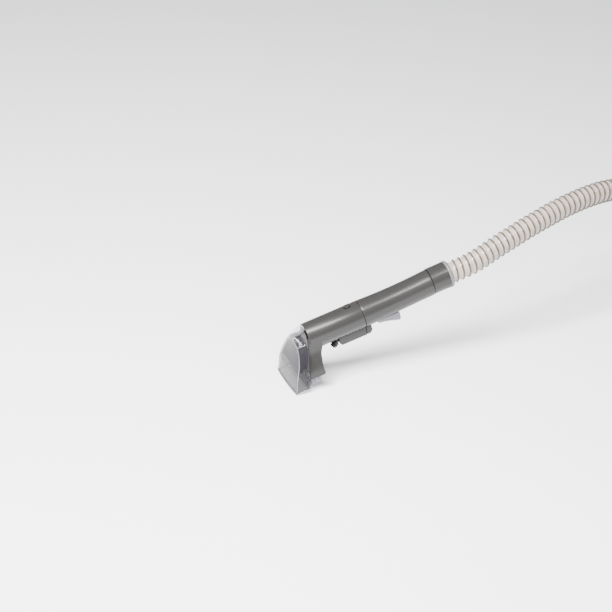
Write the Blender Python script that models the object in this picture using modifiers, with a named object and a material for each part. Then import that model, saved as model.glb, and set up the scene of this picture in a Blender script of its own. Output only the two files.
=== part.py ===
"""Spray-suction hand tool of a carpet cleaner, with its ribbed hose.

The tool is laid out along its own handle axis: x = 0 is the middle of the grip, -x runs
to the clear nozzle, +x to the hose, and z is up from the handle.  One empty tips the
whole tool by TILT, so that the front lip of the nozzle rests on the floor.
All lengths are metres.
"""

import bpy
import bmesh
from math import atan2, cos, pi, radians, sin, sqrt
from mathutils import Matrix, Vector

# Driving dimensions ---------------------------------------------------------------
TILT = radians(14.5)          # the handle rises this much towards the hose
CLEARANCE = 0.0003            # between pieces that touch
WALL = 0.0025                 # moulded shells

GRIP_LENGTH = 0.111
BARREL_LENGTH = 0.0852        # front tube, from its open front to the seam at the grip
BARREL_RADIUS = 0.0205
GRIP_WAIST = 0.0190           # outer radius in the middle of the grip
COLLAR_LENGTH = 0.0267
COLLAR_RADIUS = 0.0194
FLANGE_LENGTH = 0.0050
FLANGE_RADIUS = 0.0200
HANDLE_RISE = 0.0052          # the handle curves up by this much at the hose

NOZZLE_HALF_WIDTH = 0.0376    # a three-inch mouth
NOZZLE_WALL = 0.0020
NOZZLE_TOP = 0.0130
NOZZLE_LIP = -0.0584          # mouth plane, below the handle axis
HEAD_BOTTOM = -0.0470

DUCT_RADIUS = 0.0122          # suction duct inside the grip, outer
DUCT_WALL = 0.0016
DUCT_OFFSET = 0.0032          # the duct sits high, which leaves room for the valve
SPIGOT_LENGTH = 0.0220        # how far the handle plugs into the front tube
SPIGOT_WALL = 0.0030

HOSE_DIAMETER = 0.0335
CONNECTOR_LENGTH = 0.0850
CONNECTOR_RADIUS = 0.0215

TRIGGER_LENGTH = 0.0395
TRIGGER_DEPTH = 0.0320        # tip below the handle axis
TRIGGER_HALF = 0.0075
TRIGGER_PIN_RADIUS = 0.0015
PIN_CLEARANCE = 0.00008       # radial, between the trigger's hole and its pin

BUTTON_LENGTH = 0.0096
BUTTON_WIDTH = 0.0084
BUTTON_STANDS = 0.0026        # above the front tube
BUTTON_TRAVEL = 0.0018

HOUSING_DEPTH = 0.0098        # box under the front tube
HOUSING_HALF = 0.0110
SPRAY_TIP_RADIUS = 0.0046
SPRAY_PITCH = radians(38)     # the jet points forwards and down

TUFT_ROWS = 3
TUFTS_IN_ROW = 9
TUFT_LENGTH = 0.0150
TUFT_RADIUS = 0.0016

SCREW_RADIUS = 0.0012
SCREW_HEAD = 0.0027

SIDES = 28                    # round a large turned or lofted piece

# Places that follow from them -----------------------------------------------------
SEAM = -GRIP_LENGTH / 2
GRIP_END = GRIP_LENGTH / 2
COLLAR_END = GRIP_END + COLLAR_LENGTH
HOSE_START = COLLAR_END + FLANGE_LENGTH
BARREL_FRONT = SEAM - BARREL_LENGTH
HANDLE_LENGTH = HOSE_START - SEAM
BORE_RADIUS = BARREL_RADIUS - WALL
SPIGOT_RADIUS = BORE_RADIUS - CLEARANCE

# The head under the front tube: height below the axis, front, rear (both measured from
# the front of the tube) and half-width.
HEAD_STATIONS = (
    (0.008, -0.0010, 0.0190, 0.0165),
    (-0.008, -0.0070, 0.0172, 0.0195),
    (-0.020, -0.0125, 0.0100, 0.0240),
    (-0.033, -0.0172, 0.0056, 0.0298),
    (HEAD_BOTTOM, -0.0186, 0.0032, 0.0345),
)
# The clear nozzle: height, front face and rear face, from the front of the tube.
NOZZLE_STATIONS = (
    (NOZZLE_LIP, -0.0450, -0.0240),
    (HEAD_BOTTOM, -0.0412, -0.0206),
    (-0.035, -0.0372, -0.0196),
    (-0.019, -0.0290, -0.0142),
    (-0.008, -0.0243, -0.0092),
    (0.0007, -0.0216, -0.0062),
    (NOZZLE_TOP, -0.0205, -0.0080),
)

tool_frame = None
parts = None
cutters = None


# Scene ----------------------------------------------------------------------------
def start_scene():
    """An empty scene with one collection for the pieces and one for the cutters."""
    global tool_frame, parts, cutters
    for thing in list(bpy.data.objects):
        bpy.data.objects.remove(thing)
    parts = bpy.data.collections.new("carpet_cleaner_hand_tool")
    cutters = bpy.data.collections.new("cutters")
    for collection in (parts, cutters):
        bpy.context.scene.collection.children.link(collection)
    tool_frame = bpy.data.objects.new("tool_frame", None)
    parts.objects.link(tool_frame)
    tool_frame.rotation_euler = (0, -TILT, 0)


def material(name, colour, roughness=0.4, metallic=0.0):
    made = bpy.data.materials.get(name)
    if made is None:
        made = bpy.data.materials.new(name)
        made.use_nodes = True
        shader = made.node_tree.nodes["Principled BSDF"]
        shader.inputs["Base Color"].default_value = (*colour, 1)
        shader.inputs["Roughness"].default_value = roughness
        shader.inputs["Metallic"].default_value = metallic
    return made


def dark_plastic():
    return material("dark_grey_plastic", (0.11, 0.105, 0.10), 0.28)


def clear_plastic():
    return material("smoky_clear_plastic", (0.42, 0.41, 0.44), 0.10)


def lilac_plastic():
    return material("pale_translucent_plastic", (0.55, 0.53, 0.60), 0.35)


def black_rubber():
    return material("black_rubber", (0.02, 0.02, 0.02), 0.7)


def pale_plastic():
    return material("white_plastic", (0.80, 0.80, 0.78), 0.4)


def steel():
    return material("steel", (0.62, 0.62, 0.63), 0.3, 1.0)


def bristle():
    return material("white_bristle", (0.85, 0.84, 0.88), 0.5)


def hose_plastic():
    return material("ribbed_hose", (0.40, 0.35, 0.31), 0.35)


# Shapes ---------------------------------------------------------------------------
def add(name, mesh, finish, parent=True, cutter=False):
    """A named object holding the mesh, in the tool's frame unless parent is False."""
    made = bpy.data.objects.new(name, mesh)
    (cutters if cutter else parts).objects.link(made)
    if parent:
        made.parent = tool_frame
    if cutter:
        made.hide_render = True
        made.display_type = "WIRE"
    else:
        made.data.materials.append(finish)
    return made


def shade(thing, angle=35):
    thing.data.shade_smooth()
    thing.data.set_sharp_from_angle(angle=radians(angle))
    return thing


def loft_mesh(name, rings):
    """A closed solid through rings of points, each ring with as many points."""
    build = bmesh.new()
    made = [[build.verts.new(point) for point in ring] for ring in rings]
    count = len(rings[0])
    for low, high in zip(made, made[1:]):
        for i in range(count):
            j = (i + 1) % count
            build.faces.new((low[i], low[j], high[j], high[i]))
    build.faces.new(list(reversed(made[0])))
    build.faces.new(made[-1])
    bmesh.ops.recalc_face_normals(build, faces=build.faces)
    mesh = bpy.data.meshes.new(name)
    build.to_mesh(mesh)
    build.free()
    return mesh


def loft(name, rings, finish=None, cutter=False):
    return add(name, loft_mesh(name, rings), finish, cutter=cutter)


def round_ring(x, z, radius, count=SIDES):
    """A circle across the handle axis at x, its centre at height z."""
    turn = [2 * pi * i / count for i in range(count)]
    return [Vector((x, radius * cos(a), z + radius * sin(a))) for a in turn]


def oblong_ring(z, front, rear, half, corner, steps=4):
    """A rectangle with round corners in a level plane."""
    ring = []
    centres = (
        (rear - corner, half - corner, 0),
        (front + corner, half - corner, pi / 2),
        (front + corner, corner - half, pi),
        (rear - corner, corner - half, 3 * pi / 2),
    )
    for cx, cy, start in centres:
        for i in range(steps + 1):
            a = start + pi / 2 * i / steps
            ring.append(Vector((cx + corner * cos(a), cy + corner * sin(a), z)))
    return ring


def cylinder(name, centre, axis, radius, length, finish=None, cutter=False, sides=24):
    """A cylinder round a line through centre, half its length each way."""
    build = bmesh.new()
    bmesh.ops.create_cone(
        build, cap_ends=True, segments=sides, radius1=radius, radius2=radius, depth=length
    )
    mesh = bpy.data.meshes.new(name)
    build.to_mesh(mesh)
    build.free()
    made = add(name, mesh, finish, cutter=cutter)
    made.location = centre
    made.rotation_euler = Vector(axis).to_track_quat("Z", "Y").to_euler()
    return made


def box(name, low, high, finish=None, cutter=False):
    build = bmesh.new()
    bmesh.ops.create_cube(build, size=1)
    size = Vector(high) - Vector(low)
    bmesh.ops.scale(build, vec=size, verts=build.verts)
    mesh = bpy.data.meshes.new(name)
    build.to_mesh(mesh)
    build.free()
    made = add(name, mesh, finish, cutter=cutter)
    made.location = (Vector(low) + Vector(high)) / 2
    return made


def turned(name, profile, finish, centre=(0, 0, 0), axis=(1, 0, 0), sides=32):
    """A profile of (distance along the axis, radius) turned round the axis.

    It runs along the outer side from the far end back to the near end.  A solid piece
    starts and ends on the axis; a hollow one comes back along its bore.
    """
    mesh = bpy.data.meshes.new(name)
    points = [(radius, 0, along) for along, radius in profile]
    edges = [(i, i + 1) for i in range(len(points) - 1)]
    if profile[0][1] > 0:
        edges.append((len(points) - 1, 0))
    mesh.from_pydata(points, edges, [])
    made = add(name, mesh, finish)
    screw = made.modifiers.new("turn", "SCREW")
    screw.steps = screw.render_steps = sides
    screw.use_merge_vertices = True
    screw.merge_threshold = 0.00001
    made.location = centre
    made.rotation_euler = Vector(axis).to_track_quat("Z", "Y").to_euler()
    return made


def sleeve(far, near, outer, inner):
    """The profile of a plain tube for turned()."""
    return [(far, outer), (near, outer), (near, inner), (far, inner)]


def to_mesh(curve):
    """The curve object made a closed mesh in its own place."""
    name, finish, collection = curve.name, curve.data.materials[:], curve.users_collection[0]
    graph = bpy.context.evaluated_depsgraph_get()
    mesh = bpy.data.meshes.new_from_object(curve.evaluated_get(graph))
    build = bmesh.new()
    build.from_mesh(mesh)
    bmesh.ops.remove_doubles(build, verts=build.verts, dist=0.000001)
    build.to_mesh(mesh)
    build.free()
    made = bpy.data.objects.new(name + "_mesh", mesh)
    collection.objects.link(made)
    made.parent = curve.parent
    made.matrix_local = curve.matrix_local.copy()
    made.hide_render = curve.hide_render
    made.display_type = curve.display_type
    bpy.data.objects.remove(curve)
    made.name = name
    if finish and not made.data.materials:
        made.data.materials.append(finish[0])
    return made


def plate(name, outline, half, finish=None, cutter=False, y=0.0):
    """An outline of (x, z) points, cut from a plate that is 2 * half thick across y."""
    curve = bpy.data.curves.new(name, "CURVE")
    curve.dimensions = "2D"
    curve.fill_mode = "BOTH"
    curve.extrude = half
    spline = curve.splines.new("POLY")
    spline.points.add(len(outline) - 1)
    for point, (x, z) in zip(spline.points, outline):
        point.co = (x, z, 0, 1)
    spline.use_cyclic_u = True
    made = bpy.data.objects.new(name, curve)
    (cutters if cutter else parts).objects.link(made)
    made.parent = tool_frame
    made.location = (0, y, 0)
    made.rotation_euler = (pi / 2, 0, 0)
    made.hide_render = cutter
    made.display_type = "WIRE" if cutter else "TEXTURED"
    if finish:
        curve.materials.append(finish)
    bpy.context.view_layer.update()
    return to_mesh(made)


def tube(name, points, radius, finish, parent=True, resolution=2):
    """A solid round bar along the points, with flat ends."""
    curve = bpy.data.curves.new(name, "CURVE")
    curve.dimensions = "3D"
    curve.bevel_depth = radius
    curve.bevel_resolution = resolution
    curve.use_fill_caps = True
    spline = curve.splines.new("POLY")
    spline.points.add(len(points) - 1)
    for point, place in zip(spline.points, points):
        point.co = (*place, 1)
    curve.materials.append(finish)
    made = bpy.data.objects.new(name, curve)
    parts.objects.link(made)
    if parent:
        made.parent = tool_frame
    return made


def combine(thing, operation, *others):
    for other in others:
        step = thing.modifiers.new(operation.lower() + "_" + other.name, "BOOLEAN")
        step.operation = operation
        step.solver = "EXACT"
        step.object = other
    return thing


def cut(thing, *others):
    return combine(thing, "DIFFERENCE", *others)


def join(thing, *others):
    return combine(thing, "UNION", *others)


def keep(thing, *others):
    return combine(thing, "INTERSECT", *others)


def round_edges(thing, width, segments=2, angle=50):
    step = thing.modifiers.new("round", "BEVEL")
    step.width = width
    step.segments = segments
    step.limit_method = "ANGLE"
    step.angle_limit = radians(angle)
    return thing


def coil_points(centre, radius, height, turns, per_turn=10):
    """A helix standing on centre, along z."""
    count = int(turns * per_turn)
    turn = [2 * pi * i / per_turn for i in range(count + 1)]
    return [
        Vector(centre) + Vector((radius * cos(a), radius * sin(a), height * i / count))
        for i, a in enumerate(turn)
    ]


def smooth_line(knots, step):
    """Points about step apart on a smooth curve through the knots."""
    ends = [knots[0] * 2 - knots[1]] + knots + [knots[-1] * 2 - knots[-2]]
    line = []
    for a, b, c, d in zip(ends, ends[1:], ends[2:], ends[3:]):
        t1 = sqrt((b - a).length)
        t2 = t1 + sqrt((c - b).length)
        t3 = t2 + sqrt((d - c).length)
        count = max(1, round((c - b).length / step))
        for i in range(count):
            t = t1 + (t2 - t1) * i / count
            ab = a.lerp(b, t / t1)
            bc = b.lerp(c, (t - t1) / (t2 - t1))
            cd = c.lerp(d, (t - t2) / (t3 - t2))
            early = ab.lerp(bc, t / t2)
            late = bc.lerp(cd, (t - t1) / (t3 - t1))
            line.append(early.lerp(late, (t - t1) / (t2 - t1)))
    line.append(knots[-1])
    return line


def in_row(x, y, z):
    """A point of the tool's own frame in the upright frame that the floor is level in."""
    return Matrix.Rotation(-TILT, 3, "Y") @ Vector((x, y, z))


FLOOR = in_row(BARREL_FRONT + NOZZLE_STATIONS[0][1], 0, NOZZLE_LIP).z


# Handle ---------------------------------------------------------------------------
def axis_height(x):
    """The handle axis curves up from the seam to the hose."""
    along = max(0.0, x - SEAM) / HANDLE_LENGTH
    return HANDLE_RISE * along * along


def grip_radius(x):
    """The grip is slightly waisted between the front seam and the collar."""
    along = (x - SEAM) / GRIP_LENGTH
    end = BARREL_RADIUS + (COLLAR_RADIUS - BARREL_RADIUS) * along
    middle = BARREL_RADIUS + (COLLAR_RADIUS - BARREL_RADIUS) / 2
    return end - (middle - GRIP_WAIST) * sin(pi * along)


def grip_rings(inset, start, stop, count=9):
    rings = []
    for i in range(count):
        x = start + (stop - start) * i / (count - 1)
        rings.append(round_ring(x, axis_height(x), grip_radius(x) - inset))
    return rings


SCREW_PLACES = tuple(SEAM + GRIP_LENGTH * share for share in (0.1115, 0.60, 0.90))
SCREW_DROP = 0.0143           # the screws pass under the suction duct
SCREW_BOSS = 0.0028
PIN_HALF = 0.0104
LUG_RADIUS = 0.0034           # of the two lugs that hold the trigger's pin
LUG_REACH = 0.0117
PIVOT_X = SEAM + GRIP_LENGTH * 0.176
PIVOT_Z = -0.0146
VALVE_X = PIVOT_X + 0.0135
TUBE_RADIUS = 0.0013
TUBE_SIDE = 0.0068            # the solution tubes pass beside the valve and over the screws
TUBE_DROP = 0.0094
PORT_X = SEAM + 0.0048        # where the solution tube leaves the grip for the coupling


def boss_reach(x):
    return sqrt(grip_radius(x) ** 2 - SCREW_DROP**2) - 0.0008


def across(name, side, x, z, radius, near, far, sides=12):
    """A cutter cylinder across the grip, from near to far on one side of the middle."""
    centre = (x, side * (near + far) / 2, z)
    return cylinder(name, centre, (0, 1, 0), radius, far - near, cutter=True, sides=sides)


def add_screw_bosses(shell, side):
    """Bosses inside the shell; the left one takes the heads, the right one the threads."""
    for i, x in enumerate(SCREW_PLACES):
        z = axis_height(x) - SCREW_DROP
        reach = boss_reach(x)
        name = f"{shell.name}_boss_{i}"
        deep = 0.0070 if side < 0 else reach + 0.006
        join(shell, across(name, side, x, z, SCREW_BOSS, CLEARANCE, reach))
        cut(shell, across(name + "_hole", side, x, z, SCREW_RADIUS + 0.0003, -0.002, deep))
        if side > 0:
            near, far = reach - 0.0037, reach + 0.008
            cut(shell, across(name + "_sink", side, x, z, SCREW_HEAD + 0.0004, near, far))


def add_trigger_mount(shell, side):
    """A lug beside the trigger that holds its pin, and half of the slot it moves in."""
    gap = TRIGGER_HALF + 0.0005
    lug = across(shell.name + "_lug", side, PIVOT_X, PIVOT_Z, LUG_RADIUS, gap, LUG_REACH, 16)
    hole = TRIGGER_PIN_RADIUS + CLEARANCE
    deep = PIN_HALF + 0.0004
    pin_hole = across(shell.name + "_pin_hole", side, PIVOT_X, PIVOT_Z, hole, 0, deep)
    far = side * (gap + 0.0001)
    slot = box(
        shell.name + "_trigger_slot",
        (PIVOT_X - 0.0042, min(-0.002 * side, far), -0.030),
        (PIVOT_X + TRIGGER_LENGTH - 0.0012, max(-0.002 * side, far), PIVOT_Z + 0.0034),
        cutter=True,
    )
    join(shell, lug)
    cut(shell, slot, pin_hole)


def grip_shell(name, side, finish):
    """One moulded half of the grip, with its screw bosses and the trigger's slot."""
    shell = loft(name, grip_rings(0, SEAM + CLEARANCE / 2, GRIP_END - CLEARANCE / 2), finish)
    hollow = loft(name + "_hollow", grip_rings(WALL, SEAM - 0.002, GRIP_END + 0.002), cutter=True)
    near = CLEARANCE / 2 * side
    far = 0.04 * side
    half = box(
        name + "_half", (-0.1, min(near, far), -0.05), (0.1, max(near, far), 0.05), cutter=True
    )
    port_radius = TUBE_RADIUS + 0.0014
    port = cylinder(
        name + "_port", (PORT_X, 0, -0.020), (0, 0, 1), port_radius, 0.012, cutter=True, sides=12
    )
    keep(shell, half)
    cut(shell, hollow, port)
    add_screw_bosses(shell, side)
    add_trigger_mount(shell, side)
    return shade(shell)


DUCT_NARROWS = 0.012          # length over which the spigot narrows behind the seam
DUCT_FALL = 0.018             # length over which the duct comes down to the collar


def duct_centre(x):
    """The duct starts on the barrel's axis, runs high through the grip and ends level."""
    fall = min(1.0, max(0.0, (GRIP_END + 0.002 - x) / DUCT_FALL))
    return axis_height(x) + DUCT_OFFSET * min(duct_narrowing(x), fall)


def duct_narrowing(x):
    """0 at the seam, 1 where the spigot has narrowed to the duct."""
    return min(1.0, max(0.0, (x - SEAM) / DUCT_NARROWS))


def duct_radius(x):
    return SPIGOT_RADIUS + (DUCT_RADIUS - SPIGOT_RADIUS) * duct_narrowing(x)


def duct_wall(x):
    return SPIGOT_WALL + (DUCT_WALL - SPIGOT_WALL) * duct_narrowing(x)


DUCT_SPLIT = SEAM + 0.030     # where the spigot piece ends and the duct piece starts
DUCT_END = GRIP_END + 0.0025


def duct(name, start, stop, stations, finish):
    inner_ends = {start: -0.002, stop: 0.002}
    outer = [round_ring(x, duct_centre(x), duct_radius(x)) for x in stations]
    inner = [
        round_ring(x + inner_ends.get(x, 0), duct_centre(x), duct_radius(x) - duct_wall(x))
        for x in stations
    ]
    piece = loft(name, outer, finish)
    cut(piece, loft(name + "_bore", inner, cutter=True))
    return shade(piece)


def handle_ducts(finish):
    """The spigot that carries the front tool, and the suction duct behind it."""
    start = SEAM - SPIGOT_LENGTH
    spigot = duct(
        "handle_spigot",
        start,
        DUCT_SPLIT - CLEARANCE,
        (start, SEAM, SEAM + DUCT_NARROWS / 2, SEAM + DUCT_NARROWS, DUCT_SPLIT - CLEARANCE),
        finish,
    )
    groove = box(
        "catch_groove",
        (start - 0.001, -CATCH_HALF - 0.0006, SPIGOT_RADIUS - 0.0022),
        (BUTTON_X + CATCH_HALF + 0.0008, CATCH_HALF + 0.0006, SPIGOT_RADIUS + 0.001),
        cutter=True,
    )
    cut(spigot, groove)
    middle = [DUCT_SPLIT + (DUCT_END - DUCT_SPLIT) * i / 5 for i in range(6)]
    duct("suction_duct", DUCT_SPLIT, DUCT_END, tuple(middle), finish)


def handle_screws():
    """Countersunk screws from the left shell into the bosses of the right one."""
    for i, x in enumerate(SCREW_PLACES):
        reach = boss_reach(x)
        head = reach - 0.0022
        profile = [
            (head + 0.0012, 0),
            (head + 0.0012, SCREW_HEAD),
            (head, SCREW_HEAD),
            (head - 0.0013, SCREW_RADIUS),
            (-0.0052, SCREW_RADIUS),
            (-0.0062, 0.0004),
            (-0.0062, 0),
        ]
        place = (x, 0, axis_height(x) - SCREW_DROP)
        shade(turned(f"handle_screw_{i + 1}", profile, steel(), place, (0, 1, 0), 16))


def collar(finish):
    """The sleeve over the hose end of the grip, its end ring, and the cuff inside it."""
    z = axis_height(GRIP_END + COLLAR_LENGTH / 2)
    length = COLLAR_LENGTH - CLEARANCE
    profile = [
        (length, COLLAR_RADIUS + 0.0002),
        (length * 0.5, COLLAR_RADIUS),
        (0, COLLAR_RADIUS),
        (0, COLLAR_RADIUS - WALL),
        (length, COLLAR_RADIUS - WALL),
    ]
    start = (GRIP_END + CLEARANCE / 2, 0, z)
    shade(turned("hose_collar", profile, finish, start, sides=SIDES))
    ring = [
        (FLANGE_LENGTH - CLEARANCE, FLANGE_RADIUS - 0.0012),
        (FLANGE_LENGTH - 0.0012, FLANGE_RADIUS),
        (0.0008, FLANGE_RADIUS),
        (0, FLANGE_RADIUS - 0.0008),
        (0, HOSE_DIAMETER / 2 - 0.0016),
        (FLANGE_LENGTH - CLEARANCE, HOSE_DIAMETER / 2 - 0.0016),
    ]
    shade(turned("collar_end_ring", ring, finish, (COLLAR_END, 0, z), sides=SIDES))
    cuff_start = DUCT_END + CLEARANCE
    cuff_length = COLLAR_END - CLEARANCE - cuff_start
    cuff_radius = COLLAR_RADIUS - WALL - CLEARANCE
    cuff = sleeve(cuff_length, 0, cuff_radius, DUCT_RADIUS - DUCT_WALL)
    shade(turned("hose_cuff", cuff, black_rubber(), (cuff_start, 0, z), sides=SIDES))


# Solution valve and trigger -------------------------------------------------------
VALVE_RADIUS = 0.0032
VALVE_TOP = -0.0096
VALVE_BOTTOM = -0.0136
PLUNGER_RADIUS = 0.0014
PLUNGER_STEM = 0.0042         # below the valve's body
PLUNGER_FOOT = 0.0008
FOOT_RADIUS = 0.0024
VALVE_TRAVEL = 0.0012
TRIGGER_ARM = 0.0135          # from the pivot to the plunger


def valve():
    """A little push valve: the plunger lets solution through when the trigger lifts it."""
    height = VALVE_TOP - VALVE_BOTTOM
    bore = PLUNGER_RADIUS + 0.0001
    profile = [
        (height, 0),
        (height, VALVE_RADIUS),
        (0, VALVE_RADIUS),
        (0, bore),
        (height - 0.0010, bore),
        (height - 0.0010, 0),
    ]
    place = (VALVE_X, 0, VALVE_BOTTOM)
    shade(turned("valve_body", profile, pale_plastic(), place, (0, 0, 1), 24))
    rise = height - 0.0010 - VALVE_TRAVEL - 0.0004
    foot_top = PLUNGER_FOOT - PLUNGER_STEM
    plunger = [
        (rise, 0),
        (rise, PLUNGER_RADIUS),
        (foot_top, PLUNGER_RADIUS),
        (foot_top, FOOT_RADIUS),
        (-PLUNGER_STEM, FOOT_RADIUS),
        (-PLUNGER_STEM, 0),
    ]
    shade(turned("valve_plunger", plunger, steel(), place, (0, 0, 1), 20))
    spring = coil_points((0, 0, 0), 0.0021, PLUNGER_STEM - 0.0015, 2.5)
    coil = tube("valve_spring", spring, 0.00022, steel())
    coil.location = (VALVE_X, 0, VALVE_BOTTOM + foot_top + CLEARANCE)


def inlet_tube():
    """From the duct, where it comes out of the hose, along the grip to the valve."""
    z = (VALVE_TOP + VALVE_BOTTOM) / 2
    gap = VALVE_RADIUS + CLEARANCE
    end = GRIP_END - 0.022

    def beside(x, lift=0.0):
        return Vector((x, TUBE_SIDE, axis_height(x) - TUBE_DROP + lift))

    duct_bottom = sqrt(DUCT_RADIUS**2 - TUBE_SIDE**2)
    up = duct_centre(end) - duct_bottom - 0.0016 - (axis_height(end) - TUBE_DROP)
    knots = [
        Vector((VALVE_X + gap, 0, z)),
        Vector((VALVE_X + gap + 0.003, 0.0010, z)),
        Vector((VALVE_X + 0.011, 0.0056, z + 0.0018)),
        beside(VALVE_X + 0.017),
        beside((VALVE_X + end) / 2),
        beside(end - 0.006),
        beside(end, up),
    ]
    tube("solution_inlet_tube", smooth_line(knots, 0.004), TUBE_RADIUS, pale_plastic())


def under_duct(x, side, gap):
    """The middle of a solution tube that runs this far clear of the duct, below it."""
    reach = duct_radius(x) + TUBE_RADIUS + gap
    return Vector((x, side, duct_centre(x) - sqrt(reach * reach - side * side)))


def outlet_tube():
    """From the valve, over the trigger's pin and out through the port to the coupling."""
    z = (VALVE_TOP + VALVE_BOTTOM) / 2
    gap = VALVE_RADIUS + CLEARANCE
    knots = [
        Vector((VALVE_X - gap, 0, z)),
        Vector((VALVE_X - gap - 0.0026, -0.0012, z + 0.0001)),
        Vector((PIVOT_X + 0.0040, -0.0058, -0.0100)),
        Vector((PIVOT_X - 0.0010, -TUBE_SIDE, -TUBE_DROP)),
        Vector((SCREW_PLACES[0], -TUBE_SIDE, -TUBE_DROP)),
        under_duct(PORT_X + 0.0043, -0.0067, 0.00055),
        under_duct(PORT_X + 0.0017, -0.0046, 0.00115),
        under_duct(PORT_X + 0.0001, -0.0006, 0.00177),
        Vector((PORT_X, 0, 0.0015 - BARREL_RADIUS)),
        Vector((PORT_X, 0, -BARREL_RADIUS - 0.0007)),
    ]
    tube("solution_outlet_tube", smooth_line(knots, 0.003), TUBE_RADIUS, pale_plastic())


def trigger():
    """The pale trigger under the grip, on its own pin."""
    pivot = bpy.data.objects.new("trigger_pivot", None)
    parts.objects.link(pivot)
    pivot.parent = tool_frame
    pivot.location = (PIVOT_X, 0, PIVOT_Z)
    tip = TRIGGER_LENGTH - 0.0042
    deep = -TRIGGER_DEPTH - PIVOT_Z
    arm_top = VALVE_BOTTOM - PLUNGER_STEM - CLEARANCE - PIVOT_Z
    outline = [
        (-0.0030, -0.0016),
        (-0.0016, -0.0034),
        (0.0020, -0.0082),
        (tip - 0.0080, deep + 0.0022),
        (tip - 0.0020, deep),
        (tip, deep + 0.0016),
        (tip + 0.0006, -0.0066),
        (tip - 0.0010, arm_top),
        (0.0060, arm_top),
        (0.0022, 0.0022),
        (0, 0.0031),
        (-0.0024, 0.0020),
    ]
    lever = plate("trigger", outline, TRIGGER_HALF, lilac_plastic())
    lever.parent = pivot
    lever.location = (0, 0, 0)
    bore = TRIGGER_PIN_RADIUS + PIN_CLEARANCE
    hole = cylinder("trigger_hole", (0, 0, 0), (0, 1, 0), bore, 4 * TRIGGER_HALF, cutter=True)
    hole.parent = pivot
    cut(lever, hole)
    round_edges(lever, 0.0008)
    shade(lever)
    place = (PIVOT_X, 0, PIVOT_Z)
    radius, length = TRIGGER_PIN_RADIUS, 2 * PIN_HALF
    shade(cylinder("trigger_pin", place, (0, 1, 0), radius, length, steel(), sides=16))


# Front tool -----------------------------------------------------------------------
BUTTON_X = SEAM - 0.0160
CATCH_HALF = 0.0024
SEAT_FLOOR = BARREL_RADIUS - 0.0014  # of the recess that the button sinks into
BORE_STEP = SEAM - SPIGOT_LENGTH - 0.0019
THROAT_RADIUS = BORE_RADIUS - 0.0015
HEAD_CORNER = 0.0050


def head_rings(inset, top, bottom, overhang=0.0):
    """Level sections of the head between two heights, drawn in by inset."""
    rings = []
    for z, front, rear, half in HEAD_STATIONS:
        if bottom - 0.0005 <= z <= top + 0.0005:
            low = z - overhang if z == HEAD_BOTTOM else z
            near, far = BARREL_FRONT + front + inset, BARREL_FRONT + rear - inset
            rings.append(oblong_ring(low, near, far, half - inset, HEAD_CORNER - inset * 0.6))
    return rings


def head_front(z):
    return between(z, [(station[0], station[1]) for station in HEAD_STATIONS])


def between(value, table):
    """Reads a table of (value, result) rows with straight lines between them."""
    rows = sorted(table)
    if value <= rows[0][0]:
        return rows[0][1]
    for (low, a), (high, b) in zip(rows, rows[1:]):
        if value <= high:
            return a + (b - a) * (value - low) / (high - low)
    return rows[-1][1]


def front_body(finish):
    """The dark elbow: a round front tube with a head flaring down behind the nozzle."""
    length = BARREL_LENGTH - CLEARANCE / 2
    middle = BARREL_FRONT + length / 2
    place, ahead = (middle, 0, 0), (1, 0, 0)
    body = cylinder("front_body", place, ahead, BARREL_RADIUS, length, finish, sides=SIDES)
    head = loft("head_outside", head_rings(0, 0.008, HEAD_BOTTOM), cutter=True)
    pocket = loft("head_pocket", head_rings(WALL, -0.020, HEAD_BOTTOM, 0.002), cutter=True)
    throat = cylinder(
        "barrel_throat", place, ahead, THROAT_RADIUS, length + 0.03, cutter=True, sides=SIDES
    )
    socket_length = SEAM - BORE_STEP
    socket = cylinder(
        "barrel_socket",
        (BORE_STEP + (socket_length + 0.002) / 2, 0, 0),
        ahead,
        BORE_RADIUS,
        socket_length + 0.002,
        cutter=True,
        sides=SIDES,
    )
    window = box(
        "button_window",
        (BUTTON_X - CATCH_HALF - 0.0004, -CATCH_HALF - 0.0004, 0.010),
        (BUTTON_X + CATCH_HALF + 0.0004, CATCH_HALF + 0.0004, 0.03),
        cutter=True,
    )
    seat = box(
        "button_seat",
        (BUTTON_X - BUTTON_LENGTH / 2 - 0.0004, -BUTTON_WIDTH / 2 - 0.0004, SEAT_FLOOR),
        (BUTTON_X + BUTTON_LENGTH / 2 + 0.0004, BUTTON_WIDTH / 2 + 0.0004, 0.03),
        cutter=True,
    )
    join(body, head)
    cut(body, throat, socket, pocket, window, seat)
    return shade(body)


def lock_button(finish):
    """The release button: an oval cap with a catch that drops into the spigot's groove."""
    cap_low = SEAT_FLOOR + BUTTON_TRAVEL + 0.0002
    cap_high = BARREL_RADIUS + BUTTON_STANDS
    cap = box(
        "lock_button",
        (BUTTON_X - BUTTON_LENGTH / 2, -BUTTON_WIDTH / 2, cap_low),
        (BUTTON_X + BUTTON_LENGTH / 2, BUTTON_WIDTH / 2, cap_high),
        finish,
    )
    stem = box(
        "button_catch",
        (BUTTON_X - CATCH_HALF, -CATCH_HALF + 0.0004, SPIGOT_RADIUS - 0.0001),
        (BUTTON_X + CATCH_HALF, CATCH_HALF - 0.0004, cap_low + 0.0005),
        cutter=True,
    )
    step = cap.modifiers.new("oval", "BEVEL")
    step.width = 0.0022
    step.segments = 3
    step.affect = "EDGES"
    step.limit_method = "ANGLE"
    join(cap, stem)
    shade(cap)
    spring = coil_points((0, 0, 0), 0.0036, cap_low - SEAT_FLOOR - 0.0011, 1.5, 12)
    coil = tube("button_spring", spring, 0.00025, steel())
    coil.location = (BUTTON_X, 0, SEAT_FLOOR + 0.0005)


BELL_DROP = 21.28             # a wider bell is steeper, so its inner skins sit lower


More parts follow.
